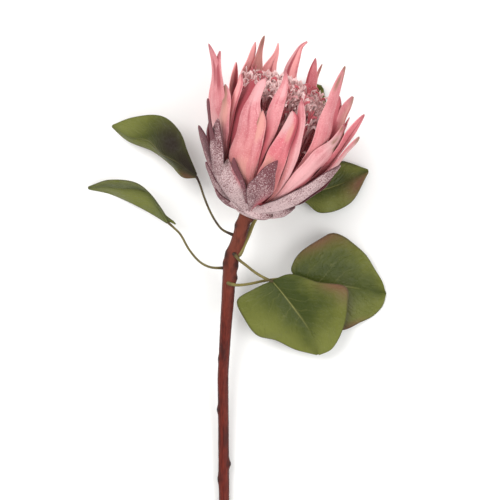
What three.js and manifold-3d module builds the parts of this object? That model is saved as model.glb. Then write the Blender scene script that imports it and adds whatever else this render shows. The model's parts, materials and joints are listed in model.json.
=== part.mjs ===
// A cut protea flower lying on a flat surface: a woody stem, six leaves and one open bloom.
// Millimetres. X runs to the flower's right, Y along the stem towards the bloom, Z up from the surface.
import * as THREE from 'three';
import { mergeVertices } from 'three/addons/utils/BufferGeometryUtils.js';
import Module from 'manifold-3d';

const wasm = await Module();
wasm.setup();

// Driving sizes of the bloom
const BLOOM_BASE = new THREE.Vector3(1.1, 26.6, 41);
const BLOOM_LEAN = 18;
const BLOOM_TILT = 15;
const PINK_THICKNESS = 0.9;
const MAUVE_THICKNESS = 1.2;
const FLORET_COUNT = 60;

// Driving sizes of the stem and leaves
const STEM_TOP_RADIUS = 5.25;
const STEM_END_RADIUS = 4.0;
const STALK_RADIUS = 0.95;
const LEAF_THICKNESS = 0.8;

// Clearance kept between neighbouring pieces
const GAP = 0.3;

// Facets of each form
const BRACT_ROWS = 6;
const BRACT_COLUMNS = 2;
const BLADE_ROWS = 8;
const BLADE_COLUMNS = 4;
const STEM_SIDES = 10;
const STEM_STEPS = 40;
const STALK_SIDES = 5;
const CUP_SIDES = 20;
const CONE_SIDES = 14;
const FLORET_SIDES = 4;

// Starting values of the seeded draws that vary the repeats
const FAR_PINK_SEED = 11;
const FAR_MAUVE_SEED = 23;
const FLORET_SEED = 5;

const WORLD_UP = new THREE.Vector3(0, 0, 1);
const rad = THREE.MathUtils.degToRad;

// The bloom's own axes: along it, to its right, and towards the side that faces up
const LEAN = rad(BLOOM_LEAN);
const TILT = rad(BLOOM_TILT);
const AXIS = new THREE.Vector3(Math.sin(LEAN), Math.cos(LEAN), 0);
AXIS.multiplyScalar(Math.cos(TILT)).addScaledVector(WORLD_UP, Math.sin(TILT));
const RIGHT = new THREE.Vector3(Math.cos(LEAN), -Math.sin(LEAN), 0);
const FRONT = new THREE.Vector3().crossVectors(RIGHT, AXIS);

function seededRandom(seed) {
  let state = seed;
  return () => {
    state = (state * 16807) % 2147483647;
    return state / 2147483647;
  };
}

function radialAt(turn) {
  return FRONT.clone().multiplyScalar(Math.cos(rad(turn))).addScaledVector(RIGHT, Math.sin(rad(turn)));
}

function bloomPoint(turn, radius, height) {
  return BLOOM_BASE.clone().addScaledVector(AXIS, height).addScaledVector(radialAt(turn), radius);
}

function heightOf(place) {
  return place.clone().sub(BLOOM_BASE).dot(AXIS);
}

function awayFromAxis(place) {
  return place.clone().sub(BLOOM_BASE).addScaledVector(AXIS, -heightOf(place));
}

function curveThrough(points) {
  return new THREE.CatmullRomCurve3(points.map((p) => new THREE.Vector3(...p)), false, 'centripetal');
}

function solidFrom(positions, indices) {
  const geometry = new THREE.BufferGeometry();
  geometry.setAttribute('position', new THREE.Float32BufferAttribute(positions, 3));
  geometry.setIndex(indices);
  return toManifold(geometry);
}

function toManifold(geometry) {
  const bare = geometry.clone();
  bare.deleteAttribute('normal');
  bare.deleteAttribute('uv');
  const merged = mergeVertices(bare, 1e-4);
  const triangles = [];
  for (let i = 0; i < merged.index.count; i += 3) {
    const [a, b, c] = merged.index.array.slice(i, i + 3);
    if (a !== b && b !== c && c !== a) {
      triangles.push(a, b, c);
    }
  }
  const mesh = new wasm.Mesh({
    numProp: 3,
    vertProperties: new Float32Array(merged.attributes.position.array),
    triVerts: new Uint32Array(triangles),
  });
  return new wasm.Manifold(mesh);
}

function toGeometry(solid) {
  const mesh = solid.getMesh();
  const geometry = new THREE.BufferGeometry();
  geometry.setAttribute('position', new THREE.BufferAttribute(new Float32Array(mesh.vertProperties), 3));
  geometry.setIndex(new THREE.BufferAttribute(new Uint32Array(mesh.triVerts), 1));
  geometry.computeVertexNormals();
  return geometry;
}

function join(solids) {
  return solids.reduce((whole, solid) => whole.add(solid));
}

// Trimming can leave loose scraps, so only the largest body is kept
function largestBody(solid) {
  const bodies = solid.decompose();
  return bodies.reduce((best, body) => (body.volume() > best.volume() ? body : best));
}

// A thin sheet given by two point grids of the same size, closed all round its rim
function sheetSolid(top, bottom) {
  const rows = top.length;
  const columns = top[0].length;
  const positions = [];
  for (const grid of [top, bottom]) {
    for (const row of grid) {
      for (const point of row) {
        positions.push(point.x, point.y, point.z);
      }
    }
  }
  const indices = [];
  const below = rows * columns;
  const at = (i, j) => i * columns + j;
  const quad = (a, b, c, d) => indices.push(a, b, c, a, c, d);
  for (let i = 0; i < rows - 1; i++) {
    for (let j = 0; j < columns - 1; j++) {
      const [a, b, c, d] = [at(i, j), at(i, j + 1), at(i + 1, j + 1), at(i + 1, j)];
      quad(a, b, c, d);
      indices.push(below + c, below + b, below + a, below + d, below + c, below + a);
    }
  }
  for (let i = 0; i < rows - 1; i++) {
    quad(at(i + 1, 0), below + at(i + 1, 0), below + at(i, 0), at(i, 0));
    const last = columns - 1;
    quad(at(i, last), below + at(i, last), below + at(i + 1, last), at(i + 1, last));
  }
  for (let j = 0; j < columns - 1; j++) {
    quad(at(0, j), below + at(0, j), below + at(0, j + 1), at(0, j + 1));
    const last = rows - 1;
    quad(at(last, j + 1), below + at(last, j + 1), below + at(last, j), at(last, j));
  }
  return solidFrom(positions, indices);
}

// A closed tube through rings of points, capped at both ends
function ringSolid(rings) {
  const sides = rings[0].length;
  const positions = [];
  for (const ring of rings) {
    for (const point of ring) {
      positions.push(point.x, point.y, point.z);
    }
  }
  const indices = [];
  for (let i = 0; i < rings.length - 1; i++) {
    for (let j = 0; j < sides; j++) {
      const k = (j + 1) % sides;
      const [a, b, c, d] = [i * sides + j, i * sides + k, (i + 1) * sides + k, (i + 1) * sides + j];
      indices.push(a, b, c, a, c, d);
    }
  }
  const end = (rings.length - 1) * sides;
  for (let j = 1; j < sides - 1; j++) {
    indices.push(0, j + 1, j);
    indices.push(end, end + j, end + j + 1);
  }
  return solidFrom(positions, indices);
}

// A sheet of even thickness about a grid of points whose rows run from left to right, from foot to tip
function thickened(middle, half) {
  const lastRow = middle.length - 1;
  const lastColumn = middle[0].length - 1;
  const normalAt = (i, j) => {
    const along = middle[Math.min(i + 1, lastRow)][j].clone().sub(middle[Math.max(i - 1, 0)][j]);
    const side = middle[i][Math.min(j + 1, lastColumn)].clone().sub(middle[i][Math.max(j - 1, 0)]);
    return side.cross(along).normalize();
  };
  const shifted = (distance) => middle.map((row, i) => (
    row.map((point, j) => point.clone().addScaledVector(normalAt(i, j), distance))
  ));
  return sheetSolid(shifted(half), shifted(-half));
}

// Moves the side edges of a grid outwards, for the room that a sheet needs
function widened(middle, grow) {
  const beforeLast = middle[0].length - 2;
  return middle.map((row) => row.map((point, j) => {
    const inner = row[Math.min(Math.max(j, 1), beforeLast)];
    return point.clone().add(point.clone().sub(inner).setLength(grow));
  }));
}

function tubeSolid(points, radiusAt, sides, steps) {
  const curve = new THREE.CatmullRomCurve3(points.map((p) => new THREE.Vector3(...p)));
  const rings = [];
  for (let i = 0; i <= steps; i++) {
    const t = i / steps;
    const centre = curve.getPointAt(t);
    const along = curve.getTangentAt(t);
    rings.push(ringAt(centre, along, sides, (angle) => radiusAt(t, angle, centre)));
  }
  return ringSolid(rings);
}

function ringAt(centre, along, sides, radiusAt) {
  const side = new THREE.Vector3().crossVectors(WORLD_UP, along).normalize();
  const up = new THREE.Vector3().crossVectors(along, side);
  const ring = [];
  for (let j = 0; j < sides; j++) {
    const angle = (2 * Math.PI * j) / sides;
    const outward = side.clone().multiplyScalar(Math.cos(angle)).addScaledVector(up, Math.sin(angle));
    ring.push(outward.multiplyScalar(radiusAt(angle)).add(centre));
  }
  return ring;
}

// Everything below the surface is cut away, which leaves the small flats that the flower rests on
const SLAB_WIDTH = 700;
const SLAB_DEPTH = 60;

function aboveSurface(solid) {
  const slab = new THREE.BoxGeometry(SLAB_WIDTH, SLAB_WIDTH, SLAB_DEPTH).translate(0, 0, -SLAB_DEPTH / 2);
  return largestBody(solid.subtract(toManifold(slab)));
}

// The goblets that the bracts lie on are surfaces of revolution about the bloom's axis, given by height
// and radius. The cups at their feet hold the bracts together, and are given by radius and height.
const PINK_GOBLET = [
  [2, 7], [6, 12], [10, 17.5], [14.7, 22.5], [20, 28.5], [27, 35.5], [35, 40.5], [45, 44.5], [55, 46.5],
  [70, 48], [85, 47.5], [100, 45], [115, 42], [135, 38],
];
const MAUVE_GOBLET = [
  [-3.5, 6], [-2, 10], [-0.5, 14], [5.5, 19.6], [13, 26.6], [18, 32.4], [25, 39], [35, 44.5], [45, 48],
  [60, 50.5], [75, 51], [90, 49.5], [105, 47],
];
const MAUVE_CUP = [
  [0, -2], [9, -2], [13.5, -0.5], [19, 5.5], [26, 13], [24.4, 14.4], [17, 7.6], [11, 2.6], [0, 2.6],
];
const PINK_CUP = [
  [0, 2.6 + GAP], [10.8, 2.6 + GAP], [16.8, 7.6 + GAP], [23.5, 14.4 + GAP], [21, 16.5], [14, 11], [0, 11],
];
const FLORET_CONE = [
  [0, 11 + GAP], [13.6, 11 + GAP], [20, 17], [24, 30], [23, 48], [15, 62], [0, 70],
];

// What every bract of a kind shares. Lengths in mm, angles in degrees. The cup's radius and height say
// where the drawn bracts are rooted. The rest shapes the bracts of the far side: foot is the share of the
// width left at the root, peak where along it the bract is widest, spread and flare are its slopes away
// from the axis at root and tip, and the handles say how far each one holds.
const PINK_KIND = {
  thickness: PINK_THICKNESS,
  goblet: PINK_GOBLET,
  cupRadius: 12.5,
  cupHeight: 6.3,
  foot: 0.3,
  peak: 0.48,
  taper: 1.5,
  point: 1.0,
  cup: 22,
  rootRadius: 7,
  rootHeight: 3.5,
  rootHandle: 0.37,
  spread: 55,
  tipHandle: 0.42,
};
const MAUVE_KIND = {
  thickness: MAUVE_THICKNESS,
  goblet: MAUVE_GOBLET,
  cupRadius: 14,
  cupHeight: 2.4,
  foot: 0.4,
  peak: 0.45,
  taper: 1.6,
  point: 0.9,
  cup: 12,
  rootRadius: 10,
  rootHeight: 0,
  rootHandle: 0.36,
  spread: 48,
  tipHandle: 0.36,
};
// The least half width of a bract's tip
const BLUNT_TIP = 0.8;

// The bracts that show are drawn by their two edges as seen from above, from foot to tip, on a grid of
// squares of GRID mm, counted from its left and its upper edge. Each one lies on its kind's goblet, on the
// near or the far side of the bloom, lifted from it by lift mm.
const GRID = 0.75;
const GRID_MIDDLE = 250;
const SEEN_FROM = new THREE.Vector3(0, 0, 1541);
const NEAR = 1;
const FAR = -1;
// How gently a goblet is followed where it turns out of sight
const TURN_SOFTLY = 12;
// A drawn bract lies on the goblet, but past LEAVING_AT of its length it stands off rather than wind round
// the bloom by more than SLACK degrees, and one that is SIDE_FROM to SIDE_TO degrees round goes straight out
const LEAVING_AT = 0.4;
const SLACK = 10;
const FURTHEST_ROUND = [60, 80];
const SIDE_FROM = 35;
const SIDE_TO = 55;
// Two turns that differ by less than this, in radians, are the same
const SAME_TURN = 0.001;
// How far a drawn bract is arched, as a share of its width
const ARCH = 0.08;
// A line of sight meets a goblet closely enough after this many corrections
const CORRECTIONS = 6;

const PINK_BRACTS = [
  {
    side: FAR,
    lift: 0,
    left: [[236, 190], [231, 150], [229, 110], [229, 90], [230.5, 78], [233, 69], [236, 61.5]],
    right: [[244, 190], [243, 150], [238, 110], [236, 90], [238, 79], [237.8, 70], [236.5, 62]],
  },
  {
    side: FAR,
    lift: 0,
    left: [[243, 190], [240, 150], [238, 110], [238, 85], [241, 71], [247.5, 59], [252, 47], [255.3, 41.5]],
    right: [[252, 190], [254, 150], [254, 110], [251, 85], [250.5, 69], [254.5, 58], [256.3, 47],
      [255.9, 41.5]],
  },
  {
    side: FAR,
    lift: -1.5,
    left: [[250, 190], [250, 150], [250, 110], [250.5, 85], [250, 69], [255.5, 57], [259, 46], [261, 39],
      [264.3, 35]],
    right: [[258, 190], [262, 150], [264, 110], [263, 85], [262.3, 66], [262.3, 52], [264, 44], [265, 39],
      [265, 35.5]],
  },
  {
    side: FAR,
    lift: 0,
    left: [[254, 190], [255, 150], [256, 110], [257, 84], [261, 70], [268.5, 59], [275, 52], [276.3, 47],
      [277.8, 42.5]],
    right: [[264, 190], [270, 150], [274, 110], [276, 84], [276.5, 66], [278.5, 57], [279.5, 51],
      [279.5, 46], [278.6, 42.5]],
  },
  {
    side: FAR,
    lift: 0,
    left: [[258, 190], [266, 150], [276, 110], [281, 84], [284.5, 67], [291, 56.5], [297.5, 47],
      [302, 42.3], [307.5, 40.7]],
    right: [[270, 190], [284, 150], [294, 110], [295.5, 87], [297, 73], [300, 60], [301.8, 51],
      [303, 45.6], [308, 42.6]],
  },
  {
    side: FAR,
    lift: -1,
    left: [[268, 190], [285, 150], [305, 115], [312, 95], [314, 82], [317.5, 70], [320.5, 66.5],
      [322, 63.5]],
    right: [[274, 190], [296, 150], [315, 115], [316.5, 95], [316.5, 84], [319, 74], [321.5, 68.5],
      [322.6, 64]],
  },
  {
    side: FAR,
    lift: 1,
    left: [[266, 190], [280, 150], [295, 115], [301, 97], [305, 85], [308.3, 72], [312, 63], [315.3, 57.5]],
    right: [[276, 190], [298, 150], [318, 115], [319, 97], [316, 86], [317, 72], [317, 64], [316, 58]],
  },
  {
    side: NEAR,
    lift: -4.5,
    left: [[232, 200], [222, 160], [215, 120], [214, 85], [215, 66], [217, 57], [219.7, 50.3]],
    right: [[238, 200], [232, 160], [227, 120], [224, 85], [221.3, 68], [220.7, 58], [220.8, 50.8]],
  },
  {
    side: NEAR,
    lift: -2.5,
    left: [[232, 205], [219, 175], [211, 140], [210, 110], [210.4, 92], [212.2, 75], [211.5, 60],
      [209.3, 49.5], [208.2, 43]],
    right: [[240, 205], [234, 175], [229, 140], [227, 110], [225, 92], [222.5, 75], [219.5, 64],
      [214.5, 52], [208.8, 43.2]],
  },
  {
    side: NEAR,
    lift: -6.5,
    left: [[240, 200], [229, 165], [228, 140], [231, 115], [236, 100], [243, 90], [248, 84], [252, 80]],
    right: [[246, 200], [240, 165], [245, 140], [250, 115], [253, 100], [256, 92], [256, 86], [254, 81]],
  },
  {
    side: NEAR,
    lift: -3,
    left: [[238, 200], [228, 170], [226.5, 150], [228.5, 130], [230.3, 110], [233, 94], [237.5, 84],
      [239.5, 74.5]],
    right: [[241, 200], [231, 170], [228.5, 150], [231.5, 130], [235.5, 110], [240.5, 95], [243.5, 84],
      [242, 73]],
  },
  {
    side: NEAR,
    lift: -1.8,
    left: [[236, 202], [226, 180], [223.5, 150], [220.5, 130], [219.3, 118], [221.5, 104], [223.3, 93],
      [224.7, 84]],
    right: [[240, 202], [229, 180], [226.3, 150], [228.7, 130], [230, 115], [231, 100], [229.5, 90],
      [225.6, 84]],
  },
  {
    side: NEAR,
    lift: -3.4,
    left: [[262, 205], [279, 187], [296, 169], [306.5, 152], [314.5, 134], [320.5, 114], [325.5, 104],
      [329.5, 93], [334, 84], [339.5, 73], [344.7, 65.5]],
    right: [[268, 205], [292, 187], [313, 162], [325, 145], [331, 128], [333.5, 114], [336.5, 104],
      [339, 93], [341.8, 83], [344.3, 74], [345.7, 66]],
  },
  {
    side: NEAR,
    lift: -6.5,
    left: [[272, 205], [302, 180], [320, 155], [328, 140], [331, 126], [333.5, 114], [336, 104],
      [338.6, 95.5]],
    right: [[276, 205], [312, 180], [331, 155], [337, 140], [339, 126], [340.5, 114], [341.7, 105],
      [339.6, 95.8]],
  },
  {
    side: NEAR,
    lift: -4.8,
    left: [[274, 206], [306, 183], [325, 158], [332, 140], [335.5, 122], [338.5, 111], [342.5, 104.5],
      [347.5, 99.8], [352, 95.8]],
    right: [[279, 206], [315, 183], [335, 158], [341.5, 142], [344, 130], [345.5, 120], [349, 112],
      [352.5, 103.5], [354, 96.5]],
  },
  {
    side: NEAR,
    lift: -3.4,
    left: [[274, 207], [300, 188], [318, 171], [330, 156.5], [338, 146], [344.5, 134], [352, 125],
      [359, 117.5], [364.2, 113.8]],
    right: [[278, 207], [306, 191], [324, 175], [337, 158], [345, 147], [352, 137], [357.5, 129],
      [362.5, 120], [365, 114.6]],
  },
  {
    side: NEAR,
    lift: -2,
    left: [[274, 208], [300, 191], [320, 176], [335, 162], [345, 149.5], [352, 142], [356, 138.5],
      [359.3, 136.4]],
    right: [[278, 208], [306, 194], [327, 178], [341, 161], [347, 153], [353, 147], [357.3, 142.5],
      [359.8, 137.2]],
  },
  {
    side: NEAR,
    lift: -2.6,
    left: [[252, 190], [256, 171], [260, 154], [263, 142], [265.3, 128], [266, 115], [269.5, 105],
      [274, 96], [279, 88], [283, 79], [285.3, 69.3]],
    right: [[254, 190], [258, 174], [264, 157], [270, 145], [277.5, 130], [281.5, 117], [284.5, 106],
      [286.7, 97], [288.2, 88], [288.2, 78], [286.2, 69.3]],
  },
  {
    side: NEAR,
    lift: -1.4,
    left: [[244, 190], [232, 172], [228.5, 160], [232, 145], [237, 129], [241, 115.5], [245.5, 103.5],
      [251, 94], [254.3, 87], [258.5, 81], [264, 78.3]],
    right: [[250, 190], [257, 172], [260, 156], [263.5, 143], [265.3, 130], [263, 117], [260.7, 106],
      [261.7, 96.5], [264.3, 89], [266.6, 83], [266.2, 78]],
  },
  {
    side: NEAR,
    lift: -0.3,
    left: [[247, 192], [246, 180], [246.5, 166], [249, 150], [253, 134], [257.5, 121], [262.5, 110.5]],
    right: [[251, 192], [254.3, 176], [258, 162], [262, 147], [264.8, 134], [266.2, 122], [263.6, 110.5]],
  },
  {
    side: NEAR,
    lift: -1.6,
    left: [[262, 205], [272, 195], [280, 180], [286, 163], [290.5, 146], [295, 130], [297, 117],
      [298, 107], [301, 99]],
    right: [[266, 205], [278, 195], [289, 177], [296, 163], [300, 148], [303.5, 133], [305.3, 122],
      [305, 110], [302.3, 99]],
  },
  {
    side: NEAR,
    lift: -0.6,
    left: [[253, 196], [257.5, 173], [263.5, 162], [268, 150], [272.5, 143], [278, 134.5], [282.5, 127],
      [287, 118.5], [291.5, 111]],
    right: [[262, 202], [275, 190], [282, 172], [288, 155], [292.5, 141], [296.5, 129], [298.5, 120.5],
      [297, 114.5], [292.5, 110.5]],
  },
  {
    side: NEAR,
    lift: 0.2,
    left: [[264, 207], [276, 196], [288, 179.5], [300, 166], [310, 154], [320, 146.5], [330, 140],
      [338, 131.5], [343.4, 123.5]],
    right: [[268, 208], [284, 197], [298, 188], [309, 179.5], [319, 169], [329, 157.5], [337.5, 147],
      [343.5, 136], [344.6, 125]],
  },
];

const MAUVE_BRACTS = [
  {
    side: NEAR,
    lift: -3,
    left: [[238, 208], [222, 180], [213, 150], [209.5, 128], [208.3, 115], [207, 105], [207.2, 98]],
    right: [[242, 208], [230, 180], [220, 150], [212.5, 128], [210.3, 115], [209.7, 105], [208.6, 98]],
  },
  {
    side: NEAR,
    lift: -1.5,
    left: [[238, 209], [222, 188], [210, 167], [205, 154], [201.8, 144], [199.4, 134], [198.2, 125]],
    right: [[242, 209], [229, 188], [217, 167], [211, 154], [209.5, 144], [205.5, 134.5], [199, 125]],
  },
  {
    side: NEAR,
    lift: 0.5,
    left: [[240, 210.5], [228, 203], [218, 194], [212.5, 184], [208.5, 174], [206.3, 167], [205.5, 161.5]],
    right: [[244, 210], [234, 202], [225, 192], [218, 183], [212.5, 173], [209, 166.5], [206.3, 161.5]],
  },
  {
    side: NEAR,
    lift: 1.2,
    left: [[243, 212], [237, 210], [230, 207], [224, 203], [219, 198], [216.3, 193], [214.8, 188.5]],
    right: [[246, 210.5], [240.5, 207], [234.5, 203.5], [228.5, 200], [222.5, 196], [218.5, 192],
      [215.3, 188.3]],
  },
  {
    side: NEAR,
    lift: 0.8,
    left: [[240, 208.5], [229, 198], [220, 186], [214, 172], [210.8, 156], [210.8, 142], [212.5, 129],
      [217.6, 118.3]],
    right: [[246, 208.5], [238, 200], [230, 188], [226, 174], [225.2, 158], [223.5, 143], [221.3, 130],
      [218.6, 118.3]],
  },
  {
    side: NEAR,
    lift: 0.8,
    left: [[246, 206], [243, 192], [239.5, 181], [235, 172.5], [232, 165], [233.2, 157.3]],
    right: [[249, 206], [247.5, 192], [244.5, 181], [240.5, 172], [237, 164], [234.3, 157.3]],
  },
  {
    side: NEAR,
    lift: 1.8,
    left: [[244, 210], [238.5, 205], [232, 198], [226.5, 190], [222.3, 181], [222.3, 171], [224.5, 163.5],
      [227.5, 158.8]],
    right: [[248.5, 210], [248.2, 203], [246.5, 194], [243, 185], [238.5, 177], [234, 170], [230.8, 163.5],
      [228.4, 158.8]],
  },
  {
    side: NEAR,
    lift: 0.8,
    left: [[252, 210], [262, 204.8], [273, 200.5], [285, 195], [298, 189], [311, 181], [322, 174.3],
      [331, 169.5], [340.3, 164.6]],
    right: [[254, 214.5], [264, 212.5], [276, 211.8], [288, 208.5], [300, 202], [312, 194.5], [323, 185.5],
      [333, 176], [341, 165.4]],
  },
  {
    side: NEAR,
    lift: 1.6,
    left: [[248.5, 210], [247.6, 201], [246.8, 192], [248, 184], [255, 177.5], [262, 169], [269, 163.8],
      [277.4, 160]],
    right: [[252, 209.5], [258, 204], [266.5, 198.5], [273, 193], [275.2, 185], [275.2, 176], [277, 168],
      [278.2, 160.3]],
  },
  {
    side: NEAR,
    lift: 0.8,
    left: [[256, 211.5], [265, 210.5], [273, 211.5], [280, 210], [287, 208.5], [295, 206]],
    right: [[256, 216.5], [265, 218.5], [273, 218.5], [281, 217.3], [288.5, 213.8], [295.7, 207.3]],
  },
  {
    side: NEAR,
    lift: 1.2,
    left: [[244, 209], [250, 207.6], [256, 206.8], [262, 206.7], [268, 208.3], [272.5, 212.3]],
    right: [[242.5, 212], [247, 216.5], [253, 218.8], [260, 219.8], [267, 219.4], [273, 216.5]],
  },
];

function gobletRadius(goblet, height) {
  const above = goblet.findIndex(([station]) => station > height);
  if (above < 1) {
    return above === 0 ? goblet[0][1] : goblet[goblet.length - 1][1];
  }
  const [low, lowRadius] = goblet[above - 1];
  const [high, highRadius] = goblet[above];
  return THREE.MathUtils.mapLinear(height, low, high, lowRadius, highRadius);
}

// Where the line of sight to a place of the grid comes nearest to the bloom's axis, its way, and how near
function lineOfSight(seen) {
  const x = (seen.x - GRID_MIDDLE) * GRID;
  const y = (GRID_MIDDLE - seen.y) * GRID;
  const flat = new THREE.Vector3(x, y, BLOOM_BASE.z);
  const sight = SEEN_FROM.clone().sub(flat).normalize();
  const lean = sight.dot(AXIS);
  const offset = flat.clone().sub(BLOOM_BASE);
  const slide = (offset.dot(AXIS) * lean - offset.dot(sight)) / (1 - lean ** 2);
  const nearest = flat.clone().addScaledVector(sight, slide);
  return { nearest, sight, distance: awayFromAxis(nearest).length() };
}

// The place on a line of sight, on the bloom's near or far side, at a radius from its axis
function placeAtRadius({ nearest, sight, distance }, side, radius) {
  const room = Math.max(radius ** 2 - distance ** 2, 0);
  return nearest.clone().addScaledVector(sight, (side * room) / Math.sqrt(room + TURN_SOFTLY ** 2));
}

// The goblet's radius under a place of a bract, and how far round the bloom that place is
function drawnRadius(bract, seen) {
  const line = lineOfSight(seen);
  let place = line.nearest;
  let radius = 0;
  for (let k = 0; k < CORRECTIONS; k++) {
    radius = gobletRadius(bract.goblet, heightOf(place)) + bract.lift;
    place = placeAtRadius(line, bract.side, radius);
  }
  return { radius, distance: line.distance, around: Math.asin(Math.min(line.distance / radius, 1)) };
}

// The radius of each row of a bract: the goblet's, but a bract at the side goes straight out, not round
function rowRadius(bract, centreAt) {
  const foot = drawnRadius(bract, centreAt(0)).around;
  const leaving = drawnRadius(bract, centreAt(LEAVING_AT)).around;
  const keeping = THREE.MathUtils.smoothstep(leaving, rad(SIDE_FROM), rad(SIDE_TO));
  const most = THREE.MathUtils.clamp(leaving + rad(SLACK), rad(FURTHEST_ROUND[0]), rad(FURTHEST_ROUND[1]));
  return (t) => {
    const { radius, distance, around } = drawnRadius(bract, centreAt(t));
    const straight = foot + (leaving - foot) * Math.min(1, t / LEAVING_AT);
    const settled = Math.min(around + (straight - around) * keeping, most);
    return Math.abs(settled - around) > SAME_TURN ? distance / Math.sin(settled) : radius;
  };
}

function drawnBractSolid(bract, grow = 0) {
  const left = curveThrough(bract.left.map(([x, y]) => [x, y, 0]));
  const right = curveThrough(bract.right.map(([x, y]) => [x, y, 0]));
  const centreAt = (t) => left.getPointAt(t).lerp(right.getPointAt(t), 0.5);
  const radiusAt = rowRadius(bract, centreAt);
  const middle = [];
  for (let i = 0; i <= BRACT_ROWS; i++) {
    // The first row is the root, in the cup, and the second one the drawn foot
    const t = Math.max(0, (i - 1) / (BRACT_ROWS - 1));
    const radius = radiusAt(t);
    const from = left.getPointAt(t);
    const to = right.getPointAt(t);
    const width = GRID * from.distanceTo(to);
    const widening = to.clone().sub(from).setLength(Math.max(0, BLUNT_TIP - width / 2) / GRID);
    from.sub(widening);
    to.add(widening);
    const row = [];
    for (let j = 0; j <= BRACT_COLUMNS; j++) {
      const across = (2 * j) / BRACT_COLUMNS - 1;
      const seen = from.clone().lerp(to, (across + 1) / 2);
      const place = placeAtRadius(lineOfSight(seen), bract.side, radius);
      const outward = awayFromAxis(place).normalize();
      if (i === 0) {
        place.copy(BLOOM_BASE).addScaledVector(AXIS, bract.cupHeight);
        place.addScaledVector(outward, bract.cupRadius);
      } else {
        place.addScaledVector(outward, ARCH * width * (1 - across ** 2));
      }
      row.push(place);
    }
    middle.push(row);
  }
  return thickened(widened(middle, grow), bract.thickness / 2 + grow);
}

// The far side of the bloom, which the surface hides, carries the same two kinds of bract. From a share
// of CURL_FROM of its length on, such a bract's edges curl in by its cup, and below it they hug the bloom.
const HIDDEN_PINK = { from: 97, to: 260, count: 9, width: 22, flare: 8, reach: 52, height: 84 };
// How much less the first and last of the far pink bracts reach
const PINK_NARROWING = 6;
const HIDDEN_MAUVE = { from: 112, to: 248, count: 7, width: 25, flare: 10, reach: 55, height: 47 };
const PINK_SWAY = 8;
const PINK_REACH_SPREAD = 2;
const PINK_HEIGHT_SPREAD = 14;
const MAUVE_REACH_SPREAD = 1.5;
const MAUVE_HEIGHT_SPREAD = 4;
const MAUVE_STAGGER = 9;
const CURL_FROM = 0.4;
const SLOPE_STEP = 0.02;
// Mauve bracts that point down by less than this many degrees are pressed against the surface
const PRESSED_WITHIN = 30;

function hiddenTurn(row, k) {
  return row.from + ((row.to - row.from) * k) / (row.count - 1);
}

function hiddenPinkBracts() {
  const random = seededRandom(FAR_PINK_SEED);
  const bracts = [];
  for (let k = 0; k < HIDDEN_PINK.count; k++) {
    const sway = PINK_SWAY * (random() - 0.5);
    const narrower = PINK_NARROWING * Math.abs((2 * k) / (HIDDEN_PINK.count - 1) - 1) ** 4;
    const reach = HIDDEN_PINK.reach + PINK_REACH_SPREAD * random() - narrower;
    const height = HIDDEN_PINK.height + PINK_HEIGHT_SPREAD * random();
    bracts.push({ ...PINK_KIND, ...HIDDEN_PINK, turn: hiddenTurn(HIDDEN_PINK, k), sway, reach, height });
  }
  return bracts;
}

// How far a bract reaches when its tip just touches the surface
function reachToSurface(turn, height) {
  return -(BLOOM_BASE.z + height * Math.sin(TILT)) / (Math.cos(TILT) * Math.cos(rad(turn)));
}

function hiddenMauveBracts() {
  const random = seededRandom(FAR_MAUVE_SEED);
  const bracts = [];
  for (let k = 0; k < HIDDEN_MAUVE.count; k++) {
    const turn = hiddenTurn(HIDDEN_MAUVE, k);
    const staggered = HIDDEN_MAUVE.height + (k % 2 ? 0 : MAUVE_STAGGER);
    const height = staggered + MAUVE_HEIGHT_SPREAD * random();
    const pressed = Math.abs(turn - 180) < PRESSED_WITHIN;
    const free = () => HIDDEN_MAUVE.reach + MAUVE_REACH_SPREAD * random();
    const reach = pressed ? reachToSurface(turn, height) : free();
    bracts.push({ ...MAUVE_KIND, ...HIDDEN_MAUVE, turn, sway: 0, reach, height });
  }
  return bracts;
}

function halfWidthAt(bract, t) {
  const { foot, peak, taper, point, width } = bract;
  const rising = foot + (1 - foot) * Math.sin((Math.PI / 2) * Math.min(t / peak, 1));
  const falling = (1 - Math.max(0, (t - peak) / (1 - peak)) ** taper) ** point;
  return Math.max(BLUNT_TIP, (width / 2) * (t < peak ? rising : falling));
}

// A hidden bract's centre line runs in the half plane through the axis, out of the cup and up to the tip
function centreLine(bract) {
  const { reach, height, rootRadius, rootHeight } = bract;
  const chord = Math.hypot(reach - rootRadius, height - rootHeight);
  const start = rad(bract.spread);
  const end = rad(bract.flare);
  const out = bract.rootHandle * chord;
  const back = bract.tipHandle * chord;
  return new THREE.CubicBezierCurve(
    new THREE.Vector2(rootRadius, rootHeight),
    new THREE.Vector2(rootRadius + out * Math.sin(start), rootHeight + out * Math.cos(start)),
    new THREE.Vector2(reach - back * Math.sin(end), height - back * Math.cos(end)),
    new THREE.Vector2(reach, height),
  );
}

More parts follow.
